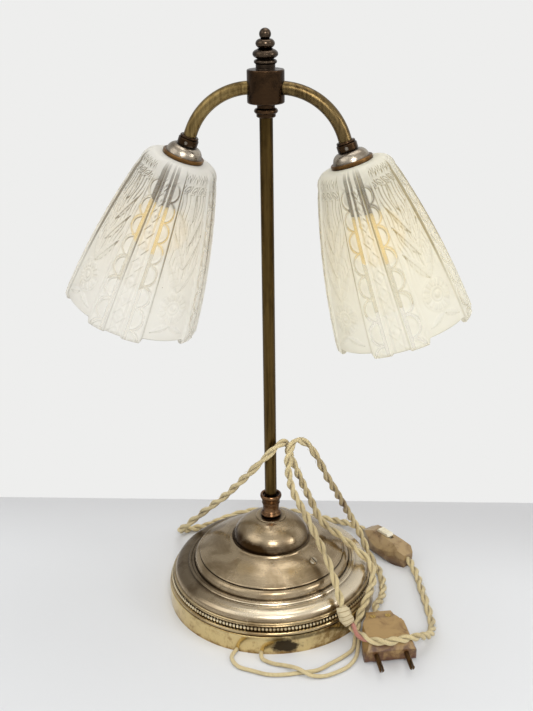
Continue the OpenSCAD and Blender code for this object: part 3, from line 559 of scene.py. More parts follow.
def floor_paper():
    """Pale paper, with painted shade that darkens it towards the back. Past the wall's line and far
    from the lamp, the camera sees the room's colour.
    """
    material, s = new_material("floor_paper")
    at = s.place()
    x, y, _ = s.parts(at)
    start, end = WALL_LINE
    slant = (end.y - start.y) / (end.x - start.x)
    beyond = (y - x * slant - (start.y - start.x * slant)).ramp(-0.0006, 0.0006)
    far_off = off_axis(x, y).ramp(0.45, 1.1)
    # Painted shade: the paper darker towards the back
    paper = s.mix(seen(224, 225, 226), seen(206, 206, 207), y.ramp(0.02, 0.17))
    paper = s.shaded(paper, 0.99 + s.noise(at, 700, 3) * 0.02)
    values = {"Base Color": paper, "Roughness": 0.6, "Specular IOR Level": 0.2}
    matt = s.node("ShaderNodeBsdfPrincipled", values=values)
    bright = s.glow("ShaderNodeEmission", ROOM)
    ray = s.node("ShaderNodeLightPath", output="Is Camera Ray")
    s.show(s.blend(matt, bright, beyond.largest(far_off) * ray))
    return material


def make_floor():
    half = FLOOR_HALF
    corners = [[-half, -half, 0], [half, -half, 0], [half, half, 0], [-half, half, 0]]
    add_mesh("floor", corners, [[0, 1, 2, 3]], floor_paper())


def make_world():
    """The room in its own colour for the camera, a little darker to the left in mirrors,
    and a soft white fill for all other light."""
    world = bpy.data.worlds.new("studio_world")
    bpy.context.scene.world = world
    world.use_nodes = True
    w = Shader(world.node_tree)
    rays = [f"Is {kind} Ray" for kind in ("Camera", "Glossy", "Transmission")]
    camera, glossy, through = [w.node("ShaderNodeLightPath", output=ray) for ray in rays]
    to_right, to_back, _ = w.parts(w.node("ShaderNodeTexCoord", output="Generated"))
    brightness = (to_right - to_back * 0.35).ramp(-0.8, 0.5, 0.66, 1.0)
    room = w.glow("ShaderNodeBackground", ROOM)
    mirrored = w.glow("ShaderNodeBackground", ROOM, brightness)
    fill = w.glow("ShaderNodeBackground", (1.0, 1.0, 1.0, 1.0), 0.5)
    unseen = w.blend(fill, mirrored, glossy)
    w.show(w.blend(unseen, room, camera.largest(through)), "ShaderNodeOutputWorld")


def make_lights():
    """Square soft lights, each with its place and size in metres and its power in watts."""
    for name, at, size, power in (
        ("window_light", (0.35, -1.35, 1.25), 0.55, 11.5),
        ("side_light", (1.25, -0.35, 0.8), 0.4, 3.2),
        ("fill_light", (-1.2, -0.7, 1.3), 1.2, 5.0),
        ("top_light", (0.1, 0.3, 1.7), 1.0, 6.5),
    ):
        lamp = bpy.data.lights.new(name, "AREA")
        lamp.energy, lamp.size = power, size
        light = bpy.data.objects.new(name, lamp)
        light.location = at
        light.rotation_euler = (LIGHT_AIM - Vector(at)).to_track_quat("-Z", "Y").to_euler()
        bpy.context.scene.collection.objects.link(light)


# ---- Cords ----
# Their routes as the photograph shows them, in millimetres
LEAD_A = [
    [-15.4, -87.5, 1.7], [-17.5, -98, 1.7], [-11, -108, 1.7], [2, -112, 1.7], [15, -114.5, 1.7],
    [28, -112.5, 1.7], [40, -108.5, 1.7], [52, -104, 1.7], [61, -95, 1.7], [70, -85.5, 1.7],
    [77.2, -75, 2.2], [78, -62, 3.4],
]
LEAD_B = [
    [4.7, -88.7, 1.7], [7, -96.5, 1.7], [16, -101, 1.7], [27, -103, 2.4], [37, -108.5, 5.1],
    [48, -112, 2.8], [58, -110, 1.7], [68, -103.5, 1.7], [76, -95, 1.7], [80.6, -83, 1.8],
    [81.2, -72, 2.6], [81.3, -62, 3.4],
]
TO_SWITCH = [
    [79.65, -62, 3.4], [79.1, -49.7, 10.2], [84.7, -36.8, 22.3], [89.3, -18, 27.5], [86, 0, 34],
    [74, 7, 42], [58, 12.5, 52], [42, 18, 61], [33, 20, 78], [25, 19, 97], [18, 17, 116],
    [12.5, 13, 134], [11, 1, 145], [4.5, -9.5, 143.5], [-8, -11, 130], [-25, 0.5, 107], [-42, 13, 84],
    [-58, 27, 64], [-74, 43, 43], [-89, 56, 24], [-98, 66, 12], [-98, 77, 5], [-89, 84, 3.4],
    [-77, 92, 3.4], [-63, 107, 3.4], [-45, 121, 3.4], [-23, 128.5, 3.4], [0, 128, 3.4],
    [22, 121.5, 3.4], [44, 117, 3.4], [65, 105, 7], [78, 92, 8],
]
TO_TAPE = [
    [117.6, 52.4, 8], [126, 33, 4], [131, 11, 3.4], [136, -12, 3.4], [140, -35, 3.4], [138, -56, 9],
    [130, -72, 18], [117, -82, 21.5], [102, -88, 21.5], [90, -84.5, 20], [81, -75, 17.5], [75, -67, 18],
]
TO_PLUG = [
    [67.5, -62, 29], [63, -54, 40], [56, -40, 51], [48, -28, 61], [39, -19, 74], [29, -14, 91],
    [20, -12, 109], [16.5, -11, 128], [17, -6, 141], [21, 4, 145.5], [29, 13, 139], [37, 20, 123],
    [45, 25, 103], [54, 32, 82], [64, 42, 56], [74, 51, 30], [83, 50, 9], [92, 36, 3.8], [97, 14, 3.8],
    [96.5, -7, 4.5], [92.5, -22, 7.5], [94.5, -37, 8.5],
]


def smooth_line(route, step=1.0):
    """Points every step or so on a smooth curve through the route's points."""
    p = np.asarray(route, float)
    p = np.vstack([2 * p[0] - p[1], p, 2 * p[-1] - p[-2]])
    gap = np.sqrt(np.linalg.norm(np.diff(p, axis=0), axis=1))
    made = []
    for i in range(1, len(p) - 2):
        t0, t1 = 0.0, gap[i - 1]
        t2 = t1 + gap[i]
        t3 = t2 + gap[i + 1]
        count = max(2, round(gap[i] ** 2 / step))
        t = np.linspace(t1, t2, count, endpoint=False)[:, None]
        a1 = (t1 - t) / (t1 - t0) * p[i - 1] + (t - t0) / (t1 - t0) * p[i]
        a2 = (t2 - t) / (t2 - t1) * p[i] + (t - t1) / (t2 - t1) * p[i + 1]
        a3 = (t3 - t) / (t3 - t2) * p[i + 1] + (t - t2) / (t3 - t2) * p[i + 2]
        b1 = (t2 - t) / (t2 - t0) * a1 + (t - t0) / (t2 - t0) * a2
        b2 = (t3 - t) / (t3 - t1) * a2 + (t - t1) / (t3 - t1) * a3
        made.append((t2 - t) / (t2 - t1) * b1 + (t - t1) / (t2 - t1) * b2)
    return np.vstack(made + [p[-2:-1]])


def along_line(line):
    return np.concatenate([[0], np.cumsum(np.linalg.norm(np.diff(line, axis=0), axis=1))])


def carried_frames(line):
    """Two directions square to the line at each point, carried along it without twist."""
    ahead = np.gradient(line, axis=0)
    ahead /= np.linalg.norm(ahead, axis=1)[:, None]
    side = np.zeros_like(line)
    now = np.array([1.0, 0.0, 0.0])
    for i, t in enumerate(ahead):
        now = now - t * (now @ t)
        now /= np.linalg.norm(now)
        side[i] = now
    return side, np.cross(ahead, side)


TUBE_SIDES = 14


def tube_points(line, radius, sides):
    """Rings of a tube round the line, with how far along and round it each point lies."""
    side, other = carried_frames(line)
    turn = np.arange(sides) / sides
    angle = math.tau * turn[None, :, None]
    ring = np.cos(angle) * side[:, None] + np.sin(angle) * other[:, None]
    points = line[:, None] + ring * np.broadcast_to(radius, len(line))[:, None, None]
    none = np.zeros((len(line), sides))
    lay = np.stack([along_line(line)[:, None] + none, turn + none, none], -1)
    return points.reshape(-1, 3), lay.reshape(-1, 3)


def capped_tube(rings, sides, offset=0):
    faces = grid_faces(rings, sides, offset)
    faces.append([offset + k for k in range(sides)][::-1])
    faces.append([offset + (rings - 1) * sides + k for k in range(sides)])
    return faces


def single_lead(name, route, material):
    line = smooth_line(route)
    points, lay = tube_points(line, LEAD_D / 2, TUBE_SIDES)
    faces = capped_tube(len(line), TUBE_SIDES)
    return add_mesh(name, points, faces, material, {"lay": lay}), line


# Loose ends of thread: millimetres of cord for each, how thick they are, how far out they start
# and how low they may hang
FIBRE_GAP, FIBRE_R, FIBRE_OUT, FIBRE_LOW = 5, 0.13, 2.6, 0.3
FIBRE_POINTS, FIBRE_SIDES = 4, 3


def loose_fibres(line, count, seed):
    """Short ends of thread that stand a little off a cord."""
    dice = np.random.default_rng(seed)
    side, other = carried_frames(line)
    ahead = np.gradient(line, axis=0)
    points, lays, faces = [], [], []
    for _ in range(count):
        i = dice.integers(4, len(line) - 4)
        a, long, lift = dice.uniform(0, math.tau), dice.uniform(2, 5), dice.uniform(0.4, 1.3)
        out = math.cos(a) * side[i] + math.sin(a) * other[i]
        along = ahead[i] / np.linalg.norm(ahead[i]) * dice.choice([-1, 1])
        curl = np.cross(along, out) * 0.8 * dice.uniform(-1, 1)
        t = np.linspace(0, 1, FIBRE_POINTS)[:, None]
        thread = line[i] + out * (FIBRE_OUT + lift * t**2) + along * long * t + curl * t
        if thread[:, 2].min() < FIBRE_LOW:
            continue
        made, _ = tube_points(thread, FIBRE_R, FIBRE_SIDES)
        faces += capped_tube(FIBRE_POINTS, FIBRE_SIDES, sum(map(len, points)))
        points.append(made)
        lays.append(np.zeros((len(made), 3)))
    return points, lays, faces


SLACK_TWIST = 0.58  # how much less the flex is twisted where it is slack
FLOOR_GAP = 0.02  # no point of it lies lower


def twisted_pair(name, route, material, start=0.0, slack=(0, 0), worn=0.0, seed=1):
    """Two cloth-covered conductors twisted round each other along the route. slack is a stretch
    where the twist is looser, and worn how much of one strand's end is bare, in millimetres."""
    line = smooth_line(route)
    side, other = carried_frames(line)
    far = along_line(line)
    rate = np.where((far > slack[0]) & (far < slack[1]), SLACK_TWIST, 1.0)
    rate = rate * (1 + 0.22 * np.sin(far / 23.0 + seed))
    turns = np.concatenate([[0], np.cumsum(np.diff(far) * rate[1:])]) / TWIST_PITCH + start
    points, lays, faces = loose_fibres(line, round(far[-1] / FIBRE_GAP), seed)
    bare = [np.zeros(sum(map(len, points)))]
    for half in (0, 0.5):
        angle = math.tau * (turns + half)
        out = np.cos(angle)[:, None] * side + np.sin(angle)[:, None] * other
        loose = FLEX_D / 2 - STRAND_R + 0.22 * np.sin(turns * 5.3 + half * 5 + seed)
        wave = np.sin(far * 0.9 + half * 7) * np.sin(far * 0.23 + seed)
        strand = line + loose[:, None] * out
        made, lay = tube_points(strand, STRAND_R * (1 + 0.05 * wave), TUBE_SIDES)
        faces += capped_tube(len(line), TUBE_SIDES, sum(map(len, points)))
        points.append(made)
        lays.append(lay + [0, half * 0.37, 0])
        bare.append(np.repeat((far > far[-1] - worn) * (half == 0) * 1.0, TUBE_SIDES))
    points = [np.maximum(made, [-np.inf, -np.inf, FLOOR_GAP]) for made in points]
    numbers = {"lay": np.vstack(lays), "bare": np.concatenate(bare)}
    return add_mesh(name, np.vstack(points), faces, material, numbers), line


def declare(piece, line, node, far_end, with_pieces=()):
    """Shows a cord in the place of its node."""
    stand_in(piece, node)


def make_cords(cloth, tape):
    """The two leads out of the base, and the flex in three lengths: to the switch, tape and plug."""
    declare(*single_lead("lead_a_cloth", LEAD_A, cloth), "lead_a", "object")
    declare(*single_lead("lead_b_cloth", LEAD_B, cloth), "lead_b", "object")
    switch = [nodes[n] for n in nodes if n.startswith("switch_")]
    plug = [nodes[n] for n in nodes if n.startswith("plug_")]
    first = twisted_pair("flex_to_switch_cloth", TO_SWITCH, cloth, slack=(245, 420))
    declare(*first, "flex_to_switch", "fitting", switch)
    wrap = tape_wrap(tape)
    second = twisted_pair("flex_to_tape_cloth", TO_TAPE, cloth, start=0.3, worn=24, seed=2)
    declare(*second, "flex_to_splice", "fitting", [wrap])
    third = twisted_pair("flex_to_plug_cloth", TO_PLUG, cloth, start=0.1, seed=3)
    declare(*third, "flex_to_plug", "plug", plug)


TAPE_TURN = 3.4  # millimetres along the joint for each turn of the tape
TAPE_R, TAPE_MORE = 3.3, 1.9  # its radius at its ends, and how much more in its middle
TAPE_SIDES = 28


def tape_wrap(material):
    """Cloth tape wound over the repaired joint, with a wavy edge to each turn."""
    line = smooth_line([TO_TAPE[-2], TO_TAPE[-1], TO_PLUG[0], TO_PLUG[1]], 0.4)
    far = along_line(line)
    start, end = far[-1] * 0.30, far[-1] * 0.72
    line = line[(far > start) & (far < end)]
    far = along_line(line)
    winding = 0.35 * np.abs(np.sin(far / TAPE_TURN * math.pi)) ** 0.4
    radius = TAPE_R + TAPE_MORE * np.sin(math.pi * (far / far[-1])) ** 0.5 + winding
    points, lay = tube_points(line, radius, TAPE_SIDES)
    turn = lay[:, 1] * math.tau
    lumps = 0.35 * np.sin(3 * turn + lay[:, 0] * 0.7) + 0.2 * np.sin(7 * turn - lay[:, 0] * 1.3)
    centre = np.repeat(line, TAPE_SIDES, 0)
    points = centre + (points - centre) * (1 + lumps / 5)[:, None]
    faces = capped_tube(len(line), TAPE_SIDES)
    wrap = add_mesh("tape_wrap", points, faces, material, {"lay": lay})
    stand_in(wrap, "splice_wrap")
    return wrap


def cloth_tape(name):
    """Woven tape, darker along the edge of each turn."""

    def build(s):
        along, around, _ = s.parts(s.number("lay", "Vector"))
        edge = ((along / TAPE_TURN + around) * math.tau).sine().ramp(0.75, 1.0)
        threads = ((along * 3.2).sine() * (around * 90).sine() * 0.5 + 0.5)
        fibres = s.noise(s.place(), 2200, 4, 0.7)
        return {
            "Base Color": s.mix(seen(226, 212, 176), seen(150, 126, 84), edge * 0.6 + fibres * 0.45),
            "Roughness": 0.9,
            "Normal": s.bump(fibres + threads * 0.5, 0.0003),
        }

    return finished(name, build)


# ---- Beads of the ring ----
BEAD_SIDES, BEAD_BANDS = 10, 5


def bead_shape():
    """The points and faces of one bead: bands of points between its two ends."""
    lat = np.linspace(-math.pi / 2, math.pi / 2, BEAD_BANDS + 2)[1:-1]
    lon = np.arange(BEAD_SIDES) / BEAD_SIDES * math.tau
    body = np.stack([
        (np.cos(lat)[:, None] * np.cos(lon)).ravel(),
        (np.cos(lat)[:, None] * np.sin(lon)).ravel(),
        np.repeat(np.sin(lat), BEAD_SIDES),
    ], 1)
    points = np.vstack([body, [[0, 0, -1], [0, 0, 1]]]) * [BEAD_R, BEAD_R, BEAD_H]
    faces = grid_faces(BEAD_BANDS, BEAD_SIDES)
    south, north = len(body), len(body) + 1
    top = south - BEAD_SIDES
    for k in range(BEAD_SIDES):
        beside = (k + 1) % BEAD_SIDES
        faces += [[south, beside, k], [north, top + k, top + beside]]
    return points, faces


def make_beads(material):
    """A row of small round beads, one mesh."""
    bead, bead_faces = bead_shape()
    points, faces = [], []
    for i in range(BEADS):
        a = math.tau * i / BEADS
        turn = np.array([[math.cos(a), -math.sin(a), 0], [math.sin(a), math.cos(a), 0], [0, 0, 1]])
        points.append((bead + [BEAD_RING_R, 0, BEAD_Z]) @ turn.T)
        faces += [[v + i * len(bead) for v in f] for f in bead_faces]
    beads = add_mesh("bead_row", np.vstack(points), faces, material)
    stand_in(beads, "bead_strip")


# ---- Pressed glass shades ----
# s is how far down a shade a place lies, and off how many degrees from the middle of the nearest
# group of pilasters. Lengths are in millimetres. width is how wide a degree is, and below is 0 on
# the shoulder and 1 further down. step grows by 1 for each half round.
def soft_step(x, low, high):
    t = np.clip((x - low) / (high - low), 0, 1)
    return t * t * (3 - 2 * t)


def ridge(x, width):
    return np.exp(-((x / width) ** 2))


def bowl(r):
    """1 in the middle of a round, and 0 at its edge and beyond."""
    return np.clip(1 - r**2, 0, 1)


def leaf(x, y, base, tip, width, veins=5, depth=0.55):
    """Height of a long leaf from base to tip, with a midrib and slanting veins."""
    base, tip = np.array(base, float), np.array(tip, float)
    length = np.linalg.norm(tip - base)
    d = (tip - base) / length
    p = ((x - base[0]) * d[0] + (y - base[1]) * d[1]) / length
    q = -(x - base[0]) * d[1] + (y - base[1]) * d[0]
    half = width / 2 * np.sin(math.pi * np.clip(p, 0, 1) ** 0.75) + 1e-6
    aside = np.abs(q) / half
    inside = soft_step(aside, 1.0, 0.86) * ((p > 0) & (p < 1))
    crown = depth * (1 - 0.5 * aside**2)
    vein = ridge(np.abs(np.sin((p * veins + aside * 0.35) * math.pi)), 0.25)
    return inside * (crown + 0.35 * ridge(q, 0.5) - 0.22 * vein)


PETALS = 16


def rosette(x, y, centre, size):
    """A round flower: a boss, a ring, petals and an outer ring."""
    dx, dy = x - centre[0], y - centre[1]
    r = np.hypot(dx, dy) / size
    turn = np.arctan2(dy, dx)
    boss = 0.7 * np.sqrt(bowl(r / 0.22))
    ring = 0.5 * ridge(r - 0.38, 0.07)
    flutes = soft_step(r, 0.46, 0.56) * soft_step(r, 0.98, 0.88)
    flutes = flutes * (0.2 + 0.45 * np.abs(np.sin(turn * PETALS / 2)))
    return boss + ring + flutes + 0.35 * ridge(r - 1.0, 0.05)


def body_r(s):
    """Radius of the glass at s, below its shoulder and without its relief."""
    u = (s - SHOULDER_H) / (SHADE_L - SHOULDER_H)
    return SHOULDER_R + (SHADE_R - SHOULDER_R) * u * (1.48 - 0.48 * u)


BAND_SUNK = 0.55
BAND_RIB, GROUP_RIB = 8.6, 22.4  # where ribs run down the glass, as off
CLEAR_STRIP, CLEAR_LINE = 10.4, 4.4  # and where its clear strips run
HALF_ROUNDS, LOZENGES = 8.5, 1.25  # how many half rounds run down the glass, and lozenges for each


def in_band(off):
    return soft_step(off, 8.4, 6.8)


def pilasters(off, s, width, below):
    """A proud group with a sunk band down its middle, ribs at their edges and clear strips."""
    group = soft_step(off, 25.2, 23.4)
    ribs = ridge((off - BAND_RIB) * width, 0.75) + 0.8 * ridge((off - GROUP_RIB) * width, 0.7)
    height = PILASTER_H * group - BAND_SUNK * in_band(off) + 0.55 * ribs * below
    strip = soft_step(np.abs((off - CLEAR_STRIP) * width), 1.5, 1.1) * group
    line = soft_step(np.abs((off - CLEAR_LINE) * width), 1.0, 0.7) * (1 - 0.7 * soft_step(s, 30, 55))
    return height, strip + line


def half_rounds(off, step, below):
    """A column of half rounds on each side of the band, each with a clear line round it."""
    across = np.clip((off - 10.0) / 10.5, 0, None)
    disc = np.hypot(across, 2 * (step % 1) - 1)
    column = soft_step(off, 9.6, 10.4) * soft_step(off, 21.8, 21.0) * below
    height = 0.7 * ridge(disc - 0.9, 0.085) + 0.5 * bowl(disc / 0.82)
    return height * column, ridge(disc - 1.03, 0.12) * column


def lozenges(aside, step):
    """A chain of lozenges with a small boss in each, at aside from the band's middle."""
    up = 2 * ((step * LOZENGES) % 1) - 1
    diamond = np.abs(aside) + np.abs(up)
    return 0.5 * ridge(diamond - 0.86, 0.12) + 0.6 * ridge(np.hypot(aside, up), 0.3)


# The leaves of a panel on its right side: where each begins, where it ends and how wide it is
LEAVES = (
    ((0, 90), (13.5, 66), 7.5),
    ((0, 72), (12.0, 46), 6.5),
    ((0, 55), (10.0, 31), 5.5),
    ((0, 117), (15.0, 124), 5.5),
)


def flower_panel(x, y):
    """A flower on a stalk with leaves, a bud at its top, and fine strokes behind them."""
    sprig = 0.5 * ridge(x - 1.2 * np.sin(y / 9), 0.7) * soft_step(y, 30, 34) * soft_step(y, 91, 88)
    for side in (-1, 1):
        for base, (aside, down), wide in LEAVES:
            sprig = np.maximum(sprig, leaf(x, y, base, (side * aside, down), wide))
    bud = leaf(x, y, (0, 38), (0, 15), 7.0, 4, 0.6)
    strokes = 0.34 * np.clip(np.sin(x * 2.1 + np.sin(y / 5) * 2.2), 0, 1)
    strokes = strokes * soft_step(y, 8, 16) * soft_step(y, 98, 70)
    return np.maximum.reduce([rosette(x, y, (0, 103), 12.5), sprig, bud, strokes])


def shoulder_bosses(angle, s, off):
    """Small round bosses, each in a ring, on the shoulder between the groups."""
    up = 2 * ((s - 2) / 8.0 % 1) - 1
    aside = 2 * ((angle / 11.25 + 0.12 * s) % 1) - 1
    boss = np.hypot(up, aside)
    collar = soft_step(s, 1.5, 3) * soft_step(s, 18.5, 17.5) * soft_step(off, 24, 27)
    height = 0.5 * bowl(boss / 0.4) + 0.5 * ridge(boss - 0.72, 0.12)
    return height * collar, 0.6 * ridge(boss - 0.5, 0.09) * collar


def relief(angle, s):
    """How far the glass stands proud and how clear it is, at an angle in degrees and at s."""
    from_group = (angle + 45) % 90 - 45
    off = np.abs(from_group)
    width = np.radians(1) * body_r(np.maximum(s, SHOULDER_H))
    below = soft_step(s, SHOULDER_H - 1, SHOULDER_H + 7)
    step = HALF_ROUNDS * (np.clip(s, 0, SHADE_L) / SHADE_L) ** 0.9
    panel = soft_step(off, 25.6, 27.2) * below
    ornament = flower_panel((angle % 90 - 45) * width, s)
    heights, clears = zip(
        pilasters(off, s, width, below),
        half_rounds(off, step, below),
        (in_band(off) * below * lozenges(from_group / 6.4, step), 0),
        (1.25 * panel * ornament, panel * 0.18 * soft_step(ornament, 0.1, 0.5)),
        shoulder_bosses(angle, s, off),
    )
    return sum(heights), np.clip(sum(clears), 0, 1)


def reach(angle, s):
    """How much further down the glass comes at its pilasters, most at its mouth."""
    off = np.abs((angle + 45) % 90 - 45)
    down = TAB_L * soft_step(off, 25.4, 23.0) - 1.4 * soft_step(off, 8.5, 6.5)
    return down * (s / SHADE_L) ** 4


def shade_on_relief(angle, s):
    """Painted shade by how steeply the relief falls away to the right and down, from 0 to 1, fainter
    towards the lip, and more under the top.
    """
    nudge = 0.5
    across = relief(angle + nudge, s)[0] - relief(angle - nudge, s)[0]
    across = across / (2 * nudge * np.radians(1) * body_r(s))
    down = (relief(angle, s + nudge)[0] - relief(angle, s - nudge)[0]) / (2 * nudge)
    fainter = 1 - 0.65 * soft_step(s, 30, 105)
    # More painted shade under the top
    shade_under_top = 0.24 * soft_step(s, 34, 6)
    return np.clip(-(across * 0.8 + down * 0.6) / 0.65 * fainter + shade_under_top, 0, 1)


# A shade is made of rows of points. Each row has their radius, how far down they lie, how clear
# the glass is and how much painted shade its relief gets.
COLUMNS = 480
ANGLE = np.arange(COLUMNS) / COLUMNS * 360
NONE, FULL = np.zeros(COLUMNS), np.ones(COLUMNS)
# How many rows there are on the outside of the shoulder and below it, on the lip, and inside
SHOULDER_ROWS, BODY_ROWS, LIP_ROWS, INNER_BODY_ROWS, INNER_SHOULDER_ROWS = 10, 180, 5, 22, 5
# How clear the glass is at the lip, inside, and inside the shoulder
LIP_CLEAR, INNER_CLEAR, INNER_SHOULDER_CLEAR = 0.2, 0.9, 0.7


def down_to(u):
    """From the shoulder, at 0, to the lip, at 1."""
    return FULL * (SHOULDER_H + (SHADE_L - LIP_R - SHOULDER_H) * u)


def outside_rows():
    """The flat top, the round shoulder and the outside with its relief."""
    rows = [(r * FULL, NONE, NONE, NONE) for r in (HOLE_R, 16.5, 19.0)]
    for w in np.linspace(90, 0, SHOULDER_ROWS):
        a = math.radians(w)
        s = FULL * SHOULDER_H * (1 - math.sin(a))
        height, clear = relief(ANGLE, s)
        fade = math.cos(a) ** 2
        r = TOP_FLAT_R + (SHOULDER_R - TOP_FLAT_R) * math.cos(a) + height * fade
        rows.append((r, s, clear * fade, shade_on_relief(ANGLE, s) * fade))
    for u in np.linspace(0, 1, BODY_ROWS + 1)[1:]:
        s = down_to(u)
        height, clear = relief(ANGLE, s)
        fade = soft_step(1 - u, 0, 0.012) * 0.8 + 0.2
        rows.append((body_r(s) + height * fade, s + reach(ANGLE, s), clear, shade_on_relief(ANGLE, s)))
    return rows


def lip_rows():
    """Round the lip, from the outside to the inside."""
    s = FULL * SHADE_L
    outside = body_r(s) + relief(ANGLE, s)[0] * 0.2
    inside = body_r(s) - GLASS_T
    middle, half = (outside + inside) / 2, (outside - inside) / 2
    rows = []
    for w in np.linspace(20, 160, LIP_ROWS):
        a = math.radians(w)
        down = s - LIP_R + LIP_R * math.sin(a) + reach(ANGLE, s)
        # The lip gets an even painted shade
        rows.append((middle + half * math.cos(a), down, LIP_CLEAR * FULL, 0.4 * FULL))
    return rows


def inside_rows():
    """The smooth inside, from the lip up to the hole."""
    rows = []
    for u in np.linspace(1, 0.05, INNER_BODY_ROWS):
        s = down_to(u)
        rows.append((body_r(s) - GLASS_T, s + reach(ANGLE, s), INNER_CLEAR * FULL, NONE))
    for w in np.linspace(0, 90, INNER_SHOULDER_ROWS):
        a = math.radians(w)
        r = INNER_FLAT_R + (SHOULDER_R - GLASS_T - INNER_FLAT_R) * math.cos(a)
        s = SHOULDER_H - (SHOULDER_H - GLASS_T) * math.sin(a)
        rows.append((r * FULL, s * FULL, INNER_SHOULDER_CLEAR * FULL, NONE))
    rows.append((HOLE_R * FULL, GLASS_T * FULL, NONE, NONE))
    return rows


def make_shade(side, material):
    rows = outside_rows() + lip_rows() + inside_rows()
    r, s, clear, edge = (np.array(column) for column in zip(*rows))
    a = np.radians(ANGLE)
    points = np.stack([r * np.cos(a), r * np.sin(a), s + GLASS_AT], -1).reshape(-1, 3)
    faces = grid_faces(len(rows), COLUMNS, closed_rows=True)
    if side == "left":
        faces = [face[::-1] for face in faces]
    # edge holds the painted shade on the relief
    numbers = {"clear": clear.ravel(), "edge": edge.ravel()}
    points = placed(points, arm_end(side))
    shade = add_mesh(f"glass_shade_{side}", points, faces, material, numbers)
    stand_in(shade, f"shade_{side}")


# ---- Finishes of the carried-over pieces ----
JOIN_WITHIN = 0.02  # points this close are one, in millimetres
ROUND_ABOVE = 24  # edges are rounded that turn by more than this, in degrees


def dress(material, *names, round_by=0.0):
    """Gives CAD nodes a finish, and rounds the edges of mouldings by so many millimetres."""
    for name in names:
        mesh = nodes[name].data
        mesh.materials.clear()
        mesh.materials.append(material)
        if round_by:
            weld = nodes[name].modifiers.new("joined_points", "WELD")
            weld.merge_threshold = JOIN_WITHIN * MM
            bevel = nodes[name].modifiers.new("soft_edges", "BEVEL")
            bevel.width, bevel.segments = round_by * MM, 3
            bevel.limit_method, bevel.angle_limit = "ANGLE", math.radians(ROUND_ABOVE)
            bevel.harden_normals = True


def both(*names):
    return [f"{name}_{side}" for name in names for side in ("left", "right")]


def tones(bright, dull, grime_and_shade):
    """Three colours from their r, g, b of 255."""
    return seen(*bright), seen(*dull), seen(*grime_and_shade)


def dress_base():
    cover = tones((172, 154, 126), (124, 106, 80), (46, 34, 24))
    # lacquer here holds a painted dark reflection of the cove on the dome's foot
    lacquer = (seen(58, 40, 20), dome_foot_reflection)
    # worn gives the cover's roll a painted highlight at its front and right, and painted shade at its
    # left
    cover = aged_metal("base_cover_brass", cover, 0.22, brown=lacquer, worn=roll_highlight_and_shade)
    dress(cover, "base_shell")
    ring = tones((186, 166, 128), (134, 112, 80), (70, 52, 32))
    dress(aged_metal("ring_brass", ring, 0.2, hollow=0.0015), "bead_ring")
    dress(plinth_metal("plinth_brass"), "plinth")
    screw = tones((206, 192, 166), (150, 136, 112), (26, 19, 13))
    dress(aged_metal("screw_head", screw, 0.22, hollow=0.0012), "base_screw")
    steel = plain_finish("plain_steel", seen(170, 170, 170), 0.35, 1.0)
    dress(steel, "weight_washer", "weight_nut", "dome_nut")
    dress(plain_finish("cast_iron", seen(84, 84, 86), 0.7, 0.6, 300, 0.0004), "base_weight")
    dress(plain_finish("green_felt", seen(70, 96, 76), 0.95, 0.0, 1200, 0.0004), "felt_pad")


def dress_stem():
    bronze = tones((76, 56, 38), (42, 31, 22), (16, 11, 8))
    bronze = aged_metal("dark_bronze", bronze, 0.18, cloud=90, hollow=0.002)
    dress(bronze, "hub", "upper_collar", *both("arm_nut"))
    finial = tones((78, 66, 54), (42, 34, 28), (16, 11, 8))
    dress(aged_metal("finial_bronze", finial, 0.18, cloud=90, hollow=0.002), "finial")
    collar = tones((118, 88, 62), (72, 48, 34), (16, 11, 8))
    dress(aged_metal("collar_bronze", collar, 0.2, cloud=90, hollow=0.002), "lower_collar")
    stem = tones((98, 78, 42), (52, 38, 17), (30, 21, 10))
    dress(tube_metal("stem_brass", *stem), "stem_tube")


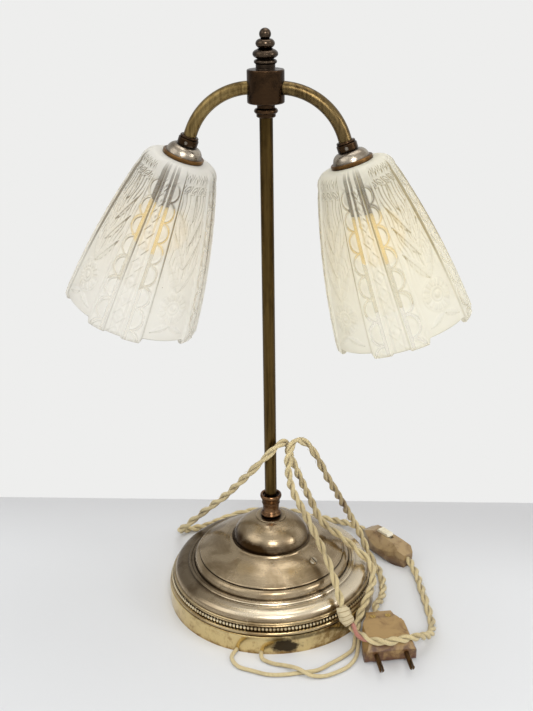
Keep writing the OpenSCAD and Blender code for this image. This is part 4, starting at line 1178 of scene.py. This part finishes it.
def dress_arms():
    # The left arm's lighter tones and the right arm's darker ones are painted light and painted shade
    # on the same brass
    left = tones((152, 130, 84), (88, 69, 38), (46, 34, 18))
    right = tones((118, 99, 64), (66, 51, 30), (40, 30, 18))
    cup = tones((176, 165, 149), (124, 112, 97), (40, 32, 25))
    for side, arm in (("left", left), ("right", right)):
        dress(tube_metal(f"arm_brass_{side}", *arm), f"arm_{side}")
        neck = (seen(58, 42, 27), neck_of(side))
        dress(aged_metal(f"cup_brass_{side}", cup, 0.22, cloud=90, brown=neck), f"cup_{side}")
    rim = tones((132, 98, 58), (88, 62, 34), (40, 28, 16))
    dress(aged_metal("rim_brass", rim, cloud=90), *both("rim"))
    holder = tones((78, 56, 34), (44, 31, 20), (24, 17, 12))
    dress(aged_metal("holder_brass", holder, cloud=90), *both("holder", "shade_ring"))
    dress(frosted_bulb("bulb_glass"), *both("bulb"))
    dress(plain_finish("bulb_cap_metal", seen(190, 186, 176), 0.3, 1.0), *both("bulb_cap"))
    ceramic = plain_finish("glazed_ceramic", seen(226, 222, 210), 0.25, 0.0, 200)
    dress(ceramic, *both("insulator"))


# Where the plug's stained front starts, in metres, and the way it faces
PLUG_NOSE = ((0.0945, -0.037), (0.2756, -0.9613))


def dress_wiring():
    """The switch, the plug, the wires inside, and small metal parts of these and of the arms."""
    dark_steel = plain_finish("dark_steel", seen(150, 142, 130), 0.3, 1.0)
    dress(dark_steel, "switch_screws", *both("cup_screw"))
    brass = plain_finish("bright_brass", seen(200, 170, 104), 0.25, 1.0)
    dress(brass, "switch_contacts", "plug_screws", *both("screw_shell"))
    inner = plain_finish("inner_cloth", seen(214, 196, 150), 0.9, 0.0, 1500, 0.0002)
    dress(inner, "hub_splice", "stem_wires", "base_wires", *both("arm_wires"))
    switch = tones((166, 140, 98), (112, 84, 50), (66, 40, 22))
    switch = old_bakelite("switch_moulding", *switch)
    dress(switch, "switch_base", "switch_cover", round_by=1.0)
    plug = tones((166, 134, 82), (116, 82, 42), (80, 40, 20))
    plug = old_bakelite("plug_moulding", *plug, PLUG_NOSE)
    dress(plug, "plug_base", "plug_cover", "plug_clamp", round_by=1.4)
    dress(plain_finish("ivory_slider", seen(232, 224, 200), 0.4), "switch_slider")
    dress(plain_finish("pin_brass", seen(96, 72, 44), 0.38, 1.0), "plug_pins")


bpy.context.scene.view_settings.view_transform = "Standard"
make_camera()
flex_cloth = braided_cloth("flex_cloth", *tones((255, 240, 190), (196, 166, 104), (110, 80, 40)))
make_cords(flex_cloth, cloth_tape("tape_cloth"))
make_floor()
make_world()
make_lights()
dress_base()
dress_stem()
dress_arms()
dress_wiring()
bead_tones = tones((232, 218, 186), (184, 164, 126), (70, 52, 34))
make_beads(aged_metal("bead_brass", bead_tones, 0.18, hollow=0.0012))
for shade_side, tint, relief_shade_tint in (
    ("left", seen(255, 254, 249), seen(134, 126, 110)),
    ("right", seen(255, 253, 241), seen(170, 158, 124)),
):
    make_shade(shade_side, pressed_glass(f"pressed_glass_{shade_side}", tint, relief_shade_tint))
